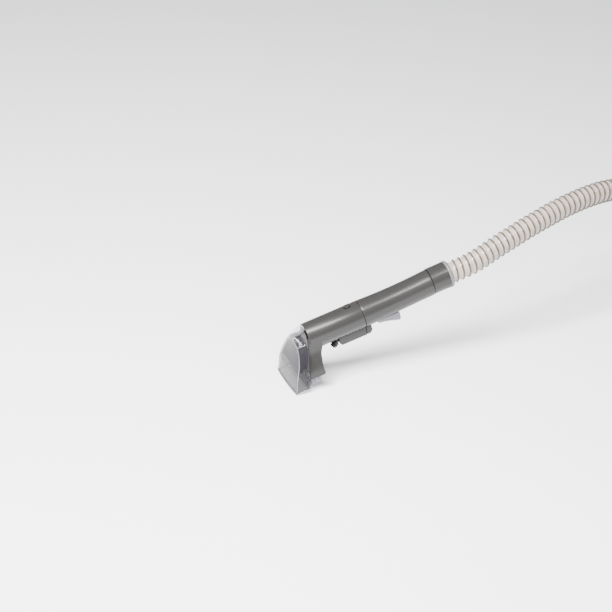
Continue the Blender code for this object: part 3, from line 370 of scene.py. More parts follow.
def moulded(name):
    """Moulded plastic: fine grain, faint flow marks, and a soft clear top."""
    base, roughness, coat = MOULDED[name]
    made = Finish(name, base, roughness, Coat_Weight=coat, Coat_Roughness=0.18,
                  Specular_IOR_Level=0.5)
    made.pattern(base, ((26, 4, 0.55, (0.35, 1.0, 1.0)), 0.93, 1.07),
                 ((95, 5, 0.55, (0.25, 1.0, 1.0)), roughness - 0.035, roughness + 0.055))
    fine = made.bump(made.noise(3400, 2), 0.22, 0.00006)
    made.feed("Normal", made.bump(made.noise(150, 2), 0.05, 0.0004, Normal=fine))
    return made.made


def gunmetal(name):
    """The body's grey plastic, moulded with fine metallic flakes."""
    base = tuple(colours().body)
    made = Finish(name, base, 0.30, Metallic=0.15, Coat_Weight=0.08, Coat_Roughness=0.16,
                  Specular_IOR_Level=0.34)
    cells = made.add(
        "ShaderNodeTexVoronoi", {"feature": "F1"}, Vector=made.place, Scale=2600.0
    )
    flake = made.ramp(cells.outputs["Color"], tinted(base, 0.92), tinted(base, 1.12), 0.25, 0.9)
    flow = made.ramp(made.noise(22, 4, stretch=(0.3, 1, 1)), 0.94, 1.06)
    mixed = made.add(
        "ShaderNodeMix", {"data_type": "RGBA", "blend_type": "MULTIPLY"}, Factor=1.0
    )
    made.join(flake, mixed.inputs[6])
    made.join(flow, mixed.inputs[7])
    made.feed("Base Color", mixed.outputs[2])
    made.pattern(base, gloss=((70, 5, 0.55, (0.2, 1.0, 1.0)), 0.25, 0.35))
    fine = made.bump(made.noise(3000, 2), 0.05, 0.00003)
    made.feed("Normal", made.bump(made.noise(60, 2), 0.03, 0.0003, Normal=fine))
    return made.made


def seal_rubber(name):
    """The gasket: black at the top, and a smoky grey lower down where light gets round it."""
    made = Finish(name, (0.03, 0.03, 0.033), 0.45)
    parts = made.add("ShaderNodeSeparateXYZ", Vector=made.place)
    down = made.add(
        "ShaderNodeMapRange", Value=parts.outputs["Z"], From_Min=-0.004, From_Max=-0.022
    )
    mottle = made.maths("MULTIPLY", down.outputs[0], made.ramp(made.noise(160, 4), 0.85, 1.0))
    made.feed("Base Color", made.ramp(mottle, (0.008, 0.008, 0.010), (0.040, 0.038, 0.039),
                                      0.0, 1.0))
    return made.pattern((), None, ((90, 3), 0.38, 0.55), ((1700, 3), 0.2, 0.0001))


def strap_weave(name):
    """Woven nylon webbing: two crossed sets of ribs with a little fuzz."""
    base = (0.020, 0.020, 0.022)
    made = Finish(name, base, 0.80, Sheen_Weight=0.5, Sheen_Roughness=0.4)
    warp, weft = (
        made.add("ShaderNodeTexWave", {"bands_direction": way}, Vector=made.place, Scale=scale,
                 Distortion=0.6, Detail=2.0).outputs["Fac"]
        for way, scale in (("X", 210.0), ("Y", 170.0))
    )
    cross = made.maths("MULTIPLY", warp, weft)
    made.feed("Base Color", made.ramp(cross, base, (0.075, 0.075, 0.080), 0.1, 0.9))
    fuzz = made.bump(made.noise(2600, 3), 0.3, 0.0001)
    made.feed("Normal", made.bump(cross, 0.8, 0.0003, Normal=fuzz))
    return made.made


BUILDERS = {
    "gunmetal_plastic": gunmetal, "nozzle_seal_rubber": seal_rubber, "strap_weave": strap_weave,
    **dict.fromkeys(LOOKS, from_table), **dict.fromkeys(MOULDED, moulded),
}


def look(name):
    """One material for each name, made the first time it is asked for."""
    return bpy.data.materials.get(name) or BUILDERS[name](name)


# Shapes ----------------------------------------------------------------------------
def link(name, data):
    made = bpy.data.objects.new(name, data)
    bpy.context.scene.collection.objects.link(made)
    return made


def loft(name, rings, capped=True, closed=False):
    """A skin through rings of points: capped at both ends, or closed round on itself."""
    rings = np.array([[tuple(point) for point in ring] for ring in rings], float)
    count, around = rings.shape[:2]
    index = np.arange(count * around).reshape(count, around)
    last = count if closed else count - 1
    low = index[:last]
    high = np.roll(index, -1, axis=0)[:last]
    quads = np.stack([low, np.roll(low, -1, 1), np.roll(high, -1, 1), high], -1).reshape(-1, 4)
    faces = quads.tolist()
    if capped and not closed:
        faces += [index[0][::-1].tolist(), index[-1].tolist()]
    mesh = bpy.data.meshes.new(name)
    mesh.from_pydata(rings.reshape(-1, 3).tolist(), [], faces)
    return link(name, outward(mesh))


def outward(mesh, weld=0.0):
    """Merges doubles closer than weld and turns every face outwards."""
    build = bmesh.new()
    build.from_mesh(mesh)
    if weld:
        bmesh.ops.remove_doubles(build, verts=build.verts, dist=weld)
    bmesh.ops.recalc_face_normals(build, faces=build.faces)
    build.to_mesh(mesh)
    build.free()
    return mesh


def circle(x, z, radius, sides=96):
    turn = np.linspace(0, 2 * pi, sides, endpoint=False)
    return np.stack([np.full(sides, x), radius * np.cos(turn), z + radius * np.sin(turn)], 1)


def turned(name, profile, centre=(0, 0, 0), axis=(1, 0, 0), sides=96):
    """A profile of (distance along the axis, radius) turned round it; a closed loop of points
    makes a hollow piece, and a profile that starts and ends on the axis a solid one."""
    solid = profile[0][1] == 0
    points = profile[1:-1] if solid else profile
    turn = np.linspace(0, 2 * pi, sides, endpoint=False)
    aim = Vector(axis).to_track_quat("Z", "Y").to_matrix().to_4x4()
    rings = [
        np.stack([radius * np.cos(turn), radius * np.sin(turn), np.full(sides, along)], 1)
        for along, radius in points
    ]
    made = loft(name, rings, capped=solid, closed=not solid)
    made.data.transform(Matrix.Translation(centre) @ aim)
    return made


def plain_mesh(name, build):
    mesh = bpy.data.meshes.new(name)
    build.to_mesh(mesh)
    build.free()
    return mesh


def block(name, low, high):
    low, high = Vector(low), Vector(high)
    build = bmesh.new()
    bmesh.ops.create_cube(build, size=1)
    bmesh.ops.scale(build, vec=high - low, verts=build.verts)
    bmesh.ops.translate(build, vec=(low + high) / 2, verts=build.verts)
    return link(name, plain_mesh(name, build))


def rod(name, centre, axis, radius, length, sides=40):
    half = length / 2
    profile = [(-half, 0), (-half, radius), (half, radius), (half, 0)]
    return turned(name, profile, centre, axis, sides)


def plate(name, outline, half):
    """An outline of (x, z) points made a plate 2 * half thick across y."""
    return loft(name, [[(x, y, z) for x, z in outline] for y in (-half, half)])


def bake(thing, keep=()):
    """Puts the evaluated mesh in place of the modifiers."""
    graph = bpy.context.evaluated_depsgraph_get()
    mesh = bpy.data.meshes.new_from_object(thing.evaluated_get(graph))
    thing.modifiers.clear()
    thing.data = mesh
    for other in keep:
        bpy.data.objects.remove(other)
    return thing


def shape(thing, *steps):
    """Applies (operation, cutter) steps in order and removes the cutters."""
    for operation, other in steps:
        step = thing.modifiers.new(other.name, "BOOLEAN")
        step.operation = operation
        step.solver = "EXACT"
        step.object = other
    return bake(thing, [other for _, other in steps])


def cut(thing, *others):
    return shape(thing, *[("DIFFERENCE", other) for other in others])


def soften(thing, width=None, segments=3, angle=38):
    """Rounds the sharp edges, as moulding does."""
    outward(thing.data, 0.00001)
    step = thing.modifiers.new("round", "BEVEL")
    step.width = width or sizes().edge_round
    step.segments = segments
    step.limit_method = "ANGLE"
    step.angle_limit = radians(angle)
    step.use_clamp_overlap = True
    return bake(thing)


def finish(thing, material, body, slot, *nodes, tipped=True, angle=32):
    """Places a piece in the upright frame, gives it its finish and body, and hides the imported
    nodes it stands for; slot is not used.
    """
    if tipped:
        thing.data.transform(Matrix.Rotation(-TILT, 4, "Y"))
    thing.data.materials.clear()
    thing.data.materials.append(look(material))
    thing.data.shade_smooth()
    thing.data.set_sharp_from_angle(angle=radians(angle))
    if nodes:
        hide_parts(*nodes)
    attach(thing, body)
    return thing


def between(value, rows):
    """Reads (value, result) rows with straight lines between them."""
    return float(np.interp(value, *zip(*sorted(rows))))


def axis_height(x):
    along = max(0.0, x - SEAM) / (HOSE_START - SEAM)
    return HANDLE_RISE * along * along


COLLAR_RISE = axis_height((GRIP_END + COLLAR_END) / 2)


def grip_radius(x):
    along = (x - SEAM) / (GRIP_END - SEAM)
    return 0.0205 - 0.0011 * along - 0.00095 * sin(pi * along)


# Geometry Nodes --------------------------------------------------------------------
class Tree(Nodes):
    """A Geometry Nodes tree with named inputs; it ends in Realize Instances, Set Material."""

    def __init__(self, name, inputs):
        self.tree = bpy.data.node_groups.new(name, "GeometryNodeTree")
        sockets = [("Geometry", "INPUT", "Geometry")]
        sockets += [(label, "INPUT", kind) for label, kind in inputs]
        sockets += [("Material", "INPUT", "Material"), ("Geometry", "OUTPUT", "Geometry")]
        for label, way, kind in sockets:
            self.tree.interface.new_socket(label, in_out=way, socket_type="NodeSocket" + kind)
        self.inputs = self.add("NodeGroupInput").outputs

    def vector(self, operation, first, *second, **scale):
        node = self.add("ShaderNodeVectorMath", {"operation": operation}, **scale)
        for value, socket in zip((first, *second), node.inputs):
            self.join(value, socket)
        return node.outputs[0]

    def named(self, name, kind):
        made = self.add("GeometryNodeInputNamedAttribute", {"data_type": kind}, Name=name)
        return made.outputs["Attribute"]

    def close(self, geometry):
        whole = self.add("GeometryNodeRealizeInstances", Geometry=geometry)
        painted = self.add(
            "GeometryNodeSetMaterial", Geometry=whole.outputs[0], Material=self.inputs["Material"]
        )
        self.add("NodeGroupOutput", Geometry=painted.outputs[0])
        return self

    def grow(self, thing, material, **values):
        """Runs the tree on an object and leaves a plain mesh."""
        step = thing.modifiers.new(self.tree.name, "NODES")
        step.node_group = self.tree
        known = {
            item.name: item.identifier
            for item in self.tree.interface.items_tree
            if item.in_out == "INPUT"
        }
        step[known["Material"]] = look(material)
        for label, value in values.items():
            step[known[label.replace("_", " ")]] = value
        thing.update_tag()
        bpy.context.view_layer.update()
        return bake(thing)


def points_mesh(name, places, **attributes):
    """Loose points, or a line of them, that a tree reads; attributes are one value a point."""
    mesh = bpy.data.meshes.new(name)
    chain = attributes.pop("chain", False)
    edges = [(i, i + 1) for i in range(len(places) - 1)] if chain else []
    mesh.from_pydata([tuple(place) for place in places], edges, [])
    for label, values in attributes.items():
        values = np.array(values, np.float32)
        if values.ndim == 1:
            mesh.attributes.new(label, "FLOAT", "POINT").data.foreach_set("value", values)
        else:
            layer = mesh.attributes.new(label, "FLOAT_VECTOR", "POINT")
            layer.data.foreach_set("vector", values.ravel())
    return link(name, mesh)


def coil_tree():
    """A wire wound round a path: each point is moved out by an angle that grows along it."""
    tree = Tree("wound_wire", [("Pitch", "Float"), ("Coil Radius", "Float"),
                               ("Wire Radius", "Float")])
    line = tree.add("GeometryNodeMeshToCurve", Mesh=tree.inputs["Geometry"])
    turns = tree.maths("DIVIDE", tree.named("along", "FLOAT"), tree.inputs["Pitch"])
    angle = tree.maths("MULTIPLY", turns, -2 * pi)
    out = tree.vector("ADD", *(
        tree.vector("SCALE", tree.named(name, "FLOAT_VECTOR"), Scale=tree.maths(wave, angle))
        for name, wave in (("across", "COSINE"), ("aside", "SINE"))
    ))
    moved = tree.add(
        "GeometryNodeSetPosition", Geometry=line.outputs[0],
        Offset=tree.vector("SCALE", out, Scale=tree.inputs["Coil Radius"]),
    )
    section = tree.add(
        "GeometryNodeCurvePrimitiveCircle", Resolution=8, Radius=tree.inputs["Wire Radius"]
    )
    bar = tree.add(
        "GeometryNodeCurveToMesh", Curve=moved.outputs[0], Profile_Curve=section.outputs[0],
        Fill_Caps=True,
    )
    soft = tree.add("GeometryNodeSetShadeSmooth", Geometry=bar.outputs[0])
    return tree.close(soft.outputs[0])


def bristle_tree():
    """Tufts of thin, slightly splayed bristles hanging from the points."""
    tree = Tree("bristle_tufts", [("Bristles", "Int"), ("Tuft Radius", "Float"),
                                  ("Bristle Radius", "Float"), ("Length", "Float"),
                                  ("Seed", "Int")])
    many = tree.add(
        "GeometryNodeDuplicateElements", {"domain": "POINT"}, Geometry=tree.inputs["Geometry"],
        Amount=tree.inputs["Bristles"],
    )
    seed = tree.inputs["Seed"]

    def chance(low, high, shift):
        made = tree.add("FunctionNodeRandomValue", {"data_type": "FLOAT"})
        made.inputs[2].default_value, made.inputs[3].default_value = low, high
        tree.join(tree.maths("ADD", seed, shift), made.inputs["Seed"])
        return made.outputs[1]

    turn = chance(0.0, 2 * pi, 1)
    cosine, sine = tree.maths("COSINE", turn), tree.maths("SINE", turn)
    share = tree.maths("SQRT", chance(0.0, 1.0, 2))

    def level(x, y, x_reach, y_reach):
        return tree.add("ShaderNodeCombineXYZ", X=tree.maths("MULTIPLY", x_reach, x),
                        Y=tree.maths("MULTIPLY", y_reach, y)).outputs[0]

    away = tree.maths("MULTIPLY", share, tree.inputs["Tuft Radius"])
    placed = tree.add("GeometryNodeSetPosition", Geometry=many.outputs["Geometry"],
                      Offset=level(cosine, sine, away, away))
    hair = tree.add(
        "GeometryNodeMeshCone", {"fill_type": "NGON"}, Vertices=5, Side_Segments=3,
        Radius_Top=tree.inputs["Bristle Radius"],
        Radius_Bottom=tree.maths("MULTIPLY", tree.inputs["Bristle Radius"], 0.7),
        Depth=tree.inputs["Length"],
    )
    drop = tree.add(
        "ShaderNodeCombineXYZ", Z=tree.maths("MULTIPLY", tree.inputs["Length"], -1.0)
    )
    hung = tree.add("GeometryNodeTransform", Geometry=hair.outputs["Mesh"],
                    Translation=drop.outputs[0])
    lean = level(sine, cosine, tree.maths("MULTIPLY", share, 0.10),
                 tree.maths("MULTIPLY", share, -0.10))
    size = tree.add("ShaderNodeCombineXYZ", X=1.0, Y=1.0, Z=chance(0.90, 1.0, 3)).outputs[0]
    stood = tree.add(
        "GeometryNodeInstanceOnPoints", Points=placed.outputs[0], Instance=hung.outputs[0],
        Rotation=lean, Scale=size,
    )
    return tree.close(stood.outputs[0])


def copies_tree(source):
    """Copies of one small mesh on the points, each turned by the point's own angles."""
    tree = Tree("copies_of_" + source.name, [])
    shown = tree.add("GeometryNodeObjectInfo", Object=source)
    stood = tree.add(
        "GeometryNodeInstanceOnPoints", Points=tree.inputs["Geometry"],
        Instance=shown.outputs["Geometry"], Rotation=tree.named("turn", "FLOAT_VECTOR"),
    )
    return tree.close(stood.outputs[0])


def copies(name, source, places, turns, material):
    """Many of one small piece, made by a tree and left as one plain mesh."""
    made = points_mesh(name, places, turn=turns)
    copies_tree(source).grow(made, material)
    bpy.data.objects.remove(source)
    return made


# Front tube, nozzle and brush ------------------------------------------------------
def oblong(z, front, rear, half, corner, steps=8):
    """A level rectangle with round corners."""
    centres = (
        (rear - corner, half - corner, 0),
        (front + corner, half - corner, pi / 2),
        (front + corner, corner - half, pi),
        (rear - corner, corner - half, 3 * pi / 2),
    )
    return [
        (cx + corner * cos(turn), cy + corner * sin(turn), z)
        for cx, cy, start in centres
        for turn in (start + pi / 2 * i / steps for i in range(steps + 1))
    ]


def head_rings(inset, top, bottom, overhang=0.0):
    rings = []
    for z, front, rear, half, flare in HEAD_STATIONS:
        if bottom - 0.0005 <= z <= top + 0.0005:
            low = z - overhang if z == HEAD_BOTTOM else z
            near, far = BARREL_FRONT + front + inset, BARREL_FRONT + rear + flare - inset
            rings.append(oblong(low, near, far, half - inset, 0.0030 - inset * 0.6))
        if z == 0.008 and top > 0:
            # the head is widest where it leaves the tube
            near, far = BARREL_FRONT - 0.0040, BARREL_FRONT + 0.0182
            rings.append(oblong(0.0005, near, far, 0.02044, 0.0030))
    return rings


def make_front_tube():
    """The dark elbow: tube, flared head, button seat and throat."""
    end = SEAM - PARTING
    body = turned("front_tube", [
        (BARREL_FRONT, 0), (BARREL_FRONT, BARREL_RADIUS - 0.0004),
        (BARREL_FRONT + 0.0004, BARREL_RADIUS), (end - SEAM_CHAMFER, BARREL_RADIUS),
        (end, BARREL_RADIUS - SEAM_CHAMFER), (end, 0),
    ])
    head = loft("head", head_rings(0, 0.008, HEAD_BOTTOM))
    pocket = loft("head_pocket", head_rings(SHELL_WALL, -0.020, HEAD_BOTTOM, 0.002))
    middle = (BARREL_FRONT + end) / 2
    throat = rod("throat", (middle, 0, 0), (1, 0, 0), THROAT_RADIUS, 0.12, 96)
    socket = rod("socket", ((BORE_STEP + 0.02 + end) / 2, 0, 0), (1, 0, 0), BORE_RADIUS,
                 end + 0.02 - BORE_STEP, 96)
    side = 0.0028
    window = block("window", (BUTTON_X - side, -side, 0.010), (BUTTON_X + side, side, 0.03))
    seat = oval("seat", 0.0104, 0.0092, SEAT_FLOOR, 0.03)
    shape(body, ("UNION", head), ("DIFFERENCE", throat), ("DIFFERENCE", socket),
          ("DIFFERENCE", pocket), ("DIFFERENCE", window), ("DIFFERENCE", seat))
    soften(body, 0.0004, 2)
    finish(body, "gunmetal_plastic", "front_tool", "dark_plastic", "front_body", angle=30)


def oval(name, length, width, low, high):
    """An upright block with fully round short sides, centred on the button."""
    corner = width / 2 - 0.00005
    rings = [
        oblong(z, BUTTON_X - length / 2, BUTTON_X + length / 2, width / 2, corner, 10)
        for z in (low, high)
    ]
    return loft(name, rings)


def make_button():
    """The oval release button with its dished top and its catch."""
    low, high = SEAT_FLOOR + 0.0020, BARREL_RADIUS + 0.0026
    cap = oval("release_button", 0.0094, 0.0082, low, high)
    catch = block("catch", (BUTTON_X - 0.0024, -0.0020, 0.0176),
                  (BUTTON_X + 0.0024, 0.0020, low + 0.0005))
    dish = rod("dish", (BUTTON_X, 0, high + 0.0152), (0, 1, 0), 0.0160, 0.03, 96)
    shape(cap, ("UNION", catch), ("DIFFERENCE", dish))
    soften(cap, 0.0004)
    finish(cap, "gunmetal_plastic", "lock_button", "dark_plastic", "lock_button")


def bell_half(z, inset):
    """Half the width of the nozzle's arched outline at a height."""
    shoulder, peak = HEAD_BOTTOM + 0.007, NOZZLE_TOP + 0.003
    up = min(0.999, max(0.0, (z + 0.8 * inset - shoulder) / (peak - shoulder)))
    return max(NOZZLE_HALF * (1 - up * up) ** 0.9 - inset, 0.0012)


LEDGE = 0.0007                # height of the small step in the nozzle's sides
LEDGE_DEPTH = 0.0009


def nozzle_front(z):
    return BARREL_FRONT + between(z, [(level, front) for level, front, _ in NOZZLE_STATIONS])


def nozzle_rear(z):
    return BARREL_FRONT + between(z, [(level, rear) for level, _, rear in NOZZLE_STATIONS])


def nozzle_bow(half):
    """How far the front face bows forwards where the nozzle is so wide."""
    return sizes().nozzle_bulge * min(1.0, half / NOZZLE_HALF * 1.6)


def nozzle_ring(z, inset, across=16):
    """A level outline: flat sides and rear, and a front face that bows forwards."""
    half = bell_half(z, inset)
    if z > LEDGE:
        half = max(half - LEDGE_DEPTH, 0.0012)
    front, rear = nozzle_front(z) + inset, nozzle_rear(z) - inset
    bow = nozzle_bow(half)
    middle = (front + rear) / 2
    ring = [(rear, -half, z), (rear, half, z), (middle, half, z)]
    for i in range(across + 1):
        y = half - 2 * half * i / across
        ring.append((front + bow * ((y / half) ** 2 - 0.5), y, z))
    ring.append((middle, -half, z))
    return ring


def nozzle_heights(low, high):
    levels = set(np.linspace(low, high, 22).round(5)) | {LEDGE, LEDGE + 0.0005}
    levels |= {row[0] for row in NOZZLE_STATIONS if low < row[0] < high}
    levels = sorted(levels)
    return [z for i, z in enumerate(levels) if i == 0 or z - levels[i - 1] > 0.00035]


def make_nozzle():
    """The smoky clear nozzle: arched sides with a ledge, a ridge each side, and a thick lip."""
    wall = 0.0016
    outer = [nozzle_ring(z, 0) for z in nozzle_heights(NOZZLE_LIP + 0.0030, NOZZLE_TOP)]
    lip = [nozzle_ring(z, inset) for z, inset in (
        (NOZZLE_LIP, -0.0004), (NOZZLE_LIP + 0.0004, -0.0008), (NOZZLE_LIP + 0.0022, -0.0008),
        (NOZZLE_LIP + 0.0026, -0.0004),
    )]
    shell = loft("clear_nozzle_shell", lip + outer)
    chamber = loft("chamber", [
        nozzle_ring(z, wall) for z in nozzle_heights(NOZZLE_LIP - 0.003, NOZZLE_TOP - wall)
    ])
    port = []
    for z in nozzle_heights(HEAD_BOTTOM + 0.003, NOZZLE_TOP - wall - 0.0003):
        x, y = nozzle_rear(z), max(bell_half(z, wall + 0.0012), 0.0012)
        port.append([(x - 0.004, -y, z), (x + 0.004, -y, z), (x + 0.004, y, z), (x - 0.004, y, z)])
    port = loft("port", port)
    cut(shell, chamber, port)
    soften(shell, 0.00035, 2, 30)
    finish(shell, "smoky_clear_plastic", "front_tool", "clear_plastic", "clear_nozzle", angle=22)


def make_nozzle_hood():
    """The thin clear hood that closes the nozzle against the top of the tube."""
    rings = []
    for x, low, high, half in (
        (-0.0203, 0.0117, 0.0130, 0.0046), (-0.0170, 0.0119, 0.0148, 0.0054),
        (-0.0110, 0.0126, 0.0171, 0.0062), (-0.0050, 0.0140, 0.0191, 0.0063),
        (-0.0006, 0.0152, 0.0202, 0.0058),
    ):
        edge = 0.0011
        rings.append([(BARREL_FRONT + x, y, z) for y, z in (
            (-half, low), (half, low), (half, high - edge), (half - 0.35 * edge, high - 0.3 * edge),
            (half - edge, high), (edge - half, high), (0.35 * edge - half, high - 0.3 * edge),
            (-half, high - edge),
        )])
    hood = loft("nozzle_hood", rings)
    finish(hood, "thin_clear_plastic", "front_tool", "clear_plastic", angle=40)


def make_nozzle_beads():
    """The rounded bead moulded along each ridge of the nozzle, and along its shoulders."""
    def bead(name, places, radius):
        places = np.array(places)
        ahead = np.gradient(places, axis=0)
        ahead /= np.linalg.norm(ahead, axis=1)[:, None]
        across = np.cross(ahead, (0.3, 1.0, 0.2))
        across /= np.linalg.norm(across, axis=1)[:, None]
        return loft(name, swept(places, across, np.cross(ahead, across), radius, 12))

    mouth = np.array(nozzle_ring(NOZZLE_LIP + 0.0007, -0.0007))
    out = np.roll(mouth, 1, 0) - np.roll(mouth, -1, 0)
    out = np.stack([-out[:, 1], out[:, 0], 0 * out[:, 0]], 1)
    out /= np.linalg.norm(out, axis=1)[:, None]
    lip = swept(mouth, out, np.broadcast_to((0.0, 0.0, 1.0), out.shape), 0.00065, 10)
    finish(loft("nozzle_lip_bead", lip, closed=True), "clear_plastic_edge", "front_tool",
           "clear_plastic", angle=60)
    for label, side in (("left", 1), ("right", -1)):
        ridge = []
        for z in np.linspace(NOZZLE_LIP + 0.0004, NOZZLE_TOP - 0.0012, 40):
            half = bell_half(z, 0) - (LEDGE_DEPTH if z > LEDGE else 0)
            front = nozzle_front(z) + nozzle_bow(half) / 2 + 0.0002
            ridge.append((front, side * (half - 0.0002), z))
        shoulder = [
            (x, side * (bell_half(LEDGE, 0) - 0.0003), LEDGE + 0.0001)
            for x in np.linspace(nozzle_front(LEDGE) + 0.001, nozzle_rear(LEDGE) - 0.0004, 12)
        ]
        for name, places, radius in (
            ("bead", ridge, 0.00040), ("shoulder_bead", shoulder, 0.00034),
        ):
            made = bead(f"nozzle_{name}_{label}", places, radius)
            finish(made, "clear_plastic_edge", "front_tool", "clear_plastic", angle=60)


def brush_places():
    """The strip's front, rear and half-width, and the tufts' places by row and number."""
    _, front, rear, half, _ = HEAD_STATIONS[-1]
    front = BARREL_FRONT + front + SHELL_WALL + CLEARANCE
    rear = BARREL_FRONT + rear - SHELL_WALL - CLEARANCE
    half = half - SHELL_WALL - CLEARANCE - 0.0018
    low = HEAD_BOTTOM + 0.0004
    first, last, spread = front + 0.0030, rear - 0.0040, half - 0.0030
    spots = {
        (row, i): Vector((first + (last - first) * row / 2, -spread + spread * i / 4, low))
        for row in range(3) for i in range(9)
    }
    return front, rear, half, low, spots


def make_brush():
    front, rear, half, low, spots = brush_places()
    rings = [oblong(z, front + 0.0006, rear - 0.0016, half, 0.0028) for z in (low, low + 0.0026)]
    strip = loft("brush_plate", rings)
    screws = [spots[(1, 2)], spots[(1, 6)]]
    holes = [rod(f"sink_{i}", place, (0, 0, 1), 0.0030, 0.0028) for i, place in enumerate(screws)]
    sockets = [rod(f"tuft_hole_{i}", place, (0, 0, 1), 0.0020, 0.0010, 20)
               for i, place in enumerate(spots.values()) if place not in screws]
    cut(strip, *holes, *sockets)
    soften(strip, 0.0003, 2)
    finish(strip, "white_solution_plastic", "front_tool", "bristle", "brush_strip")
    tufts = points_mesh("brush_tufts", [place for place in spots.values() if place not in screws])
    bristle_tree().grow(
        tufts, "nylon_bristle", Bristles=sizes().bristles, Tuft_Radius=0.0017,
        Bristle_Radius=sizes().bristle_radius, Length=0.0146, Seed=4,
    )
    outward(tufts.data)
    finish(tufts, "nylon_bristle", "front_tool", "bristle")
    head = screw_head("brush_screw_form", 0.0027, 0.0011)
    made = copies("brush_strip_screws", head, [place + Vector((0, 0, 0.0001)) for place in screws],
                  [(0, 0, 0.4), (0, 0, 1.9)], "stainless_steel")
    finish(made, "stainless_steel", "front_tool", "steel", "brush_screw_left", "brush_screw_right")


def screw_head(name, radius, height):
    """A low round head with a cross recess; it faces -z and its shank points to +z."""
    head = turned(name, [
        (0, 0), (0, radius - 0.0003), (0.0003, radius), (height, radius), (height, 0.0012),
        (0.0085, 0.0012), (0.0095, 0.0005), (0.0095, 0),
    ], axis=(0, 0, 1), sides=32)
    reach = radius * 0.62
    cut(head,
        block("slot_a", (-reach, -0.00035, -0.001), (reach, 0.00035, height * 0.7)),
        block("slot_b", (-0.00035, -reach, -0.001), (0.00035, reach, height * 0.7)))
    return head


JET_LENGTHEN, JET_WIDEN = 1.1, 1.22


def make_spray_tip():
    """The black jet: a ribbed nut with a round outlet."""
    profile = [
        (0.0078, 0.0014), (0.0078, 0.0028), (0.0074, 0.0032), (0.0068, 0.0040), (0.0062, 0.0034),
        (0.0054, 0.0034), (0.0050, 0.0044), (0.0046, 0.0046), (0.0038, 0.0046), (0.0034, 0.0044),
        (0.0030, 0.0036), (0.0022, 0.0036), (0.0018, 0.0044), (0.0014, 0.0046), (0.0006, 0.0046),
        (0.0004, 0.0044), (0.0004, 0.0026), (-0.0030, 0.0026), (-0.0030, 0.0008), (0.0060, 0.0008),
    ]
    profile = [(along * JET_LENGTHEN, radius * JET_WIDEN) for along, radius in profile]
    tip = turned("spray_jet", profile, SPRAY_SPOT + SPRAY_AIM * 0.0030, SPRAY_AIM, 48)
    finish(tip, "jet_black_plastic", "front_tool", "black_plastic", "spray_tip")


def make_housing():
    """The box under the front tube, and the round-cornered block behind the seam."""
    front, top = SEAM - 0.0420, -0.012
    end = SEAM - CLEARANCE / 2
    outline = [(front, top), (front, HOUSING_BOTTOM + 0.0030), (front + 0.0030, HOUSING_BOTTOM),
               (end, HOUSING_BOTTOM), (end, top)]
    inner = [(front + 0.0018, -0.010), (front + 0.0018, HOUSING_BOTTOM + 0.0052),
             (front + 0.0058, HOUSING_BOTTOM + 0.0018), (end + 0.002, HOUSING_BOTTOM + 0.0018),
             (end + 0.002, -0.010)]
    box = plate("solution_housing", outline, HOUSING_HALF)
    soften(box, 0.0007, 4)
    saddle = BARREL_RADIUS + 0.0002
    cut(box, plate("hollow", inner, HOUSING_HALF - 0.0020),
        rod("saddle", (SEAM - 0.02, 0, 0), (1, 0, 0), saddle, 0.12, 96),
        rod("jet_hole", SPRAY_SPOT, SPRAY_AIM, 0.0030, 0.016))
    soften(box, 0.0003, 2, 45)
    finish(box, "gunmetal_plastic", "front_tool", "dark_plastic", "lower_housing")

    near, far, corner = SEAM + CLEARANCE / 2, SEAM + 0.0092, 0.0064
    arc = [(far - corner + corner * sin(a), HOUSING_BOTTOM + corner - corner * cos(a))
           for a in np.linspace(0, pi / 2, 9)]
    outline = [(near, top), (near, HOUSING_BOTTOM), *arc, (far, top)]
    rear = plate("coupling_socket_block", outline, HOUSING_HALF)
    soften(rear, 0.0012, 4, 60)
    coupling_z = -BARREL_RADIUS - 0.0051
    cut(rear, rod("saddle", (SEAM, 0, 0), (1, 0, 0), saddle, 0.06, 96),
        rod("socket", (near + 0.0012, 0, coupling_z), (1, 0, 0), 0.0024, 0.0072),
        rod("port", (PORT_X, 0, -0.0200), (0, 0, 1), 0.0016, 0.0034))
    soften(rear, 0.0003, 2, 45)
    finish(rear, "gunmetal_plastic", "handle", "dark_plastic", "coupling_block")


# Handle ----------------------------------------------------------------------------
def grip_ring(x, inset):
    return circle(x, axis_height(x), grip_radius(x) - inset)


def grip_rings(inset, start, stop):
    return [grip_ring(x, inset) for x in np.linspace(start, stop, 36)]


def screw_reach(x):
    """How far out the grip's skin is at the screws' height."""
    return sqrt(grip_radius(x) ** 2 - SCREW_DROP**2)


def make_grip_half(name, side, node):
    """One moulded half of the grip, with its trigger slot and, on the left, screw sinks."""
    start, stop = SEAM + PARTING, GRIP_END - PARTING
    skin = grip_rings(0, start + SEAM_CHAMFER, stop - SEAM_CHAMFER)
    shell = loft(name, [grip_ring(start, SEAM_CHAMFER), *skin, grip_ring(stop, SEAM_CHAMFER)])
    low, high = sorted((CLEARANCE / 2 * side, 0.04 * side))
    steps = [
        ("INTERSECT", block("half", (-0.1, low, -0.05), (0.1, high, 0.05))),
        ("DIFFERENCE", loft("hollow", grip_rings(SHELL_WALL, SEAM - 0.002, GRIP_END + 0.002))),
        ("DIFFERENCE", rod("port", (PORT_X, 0, -0.020), (0, 0, 1), 0.0027, 0.012)),
        ("DIFFERENCE", block("trigger_slot", (PIVOT[0] - 0.0042, -0.0081, -0.030),
                             (PIVOT[0] + 0.0383, 0.0081, PIVOT[2] + 0.0034))),
    ]
    if side > 0:
        for i, x in enumerate(SCREWS):
            place = (x, screw_reach(x), axis_height(x) - SCREW_DROP)
            steps.append(("DIFFERENCE", rod(f"screw_sink_{i}", place, (0, 1, 0), 0.0031, 0.0064)))
    shape(shell, *steps)
    soften(shell, 0.0003, 2, 45)
    finish(shell, "gunmetal_plastic", "handle", "dark_plastic", node)


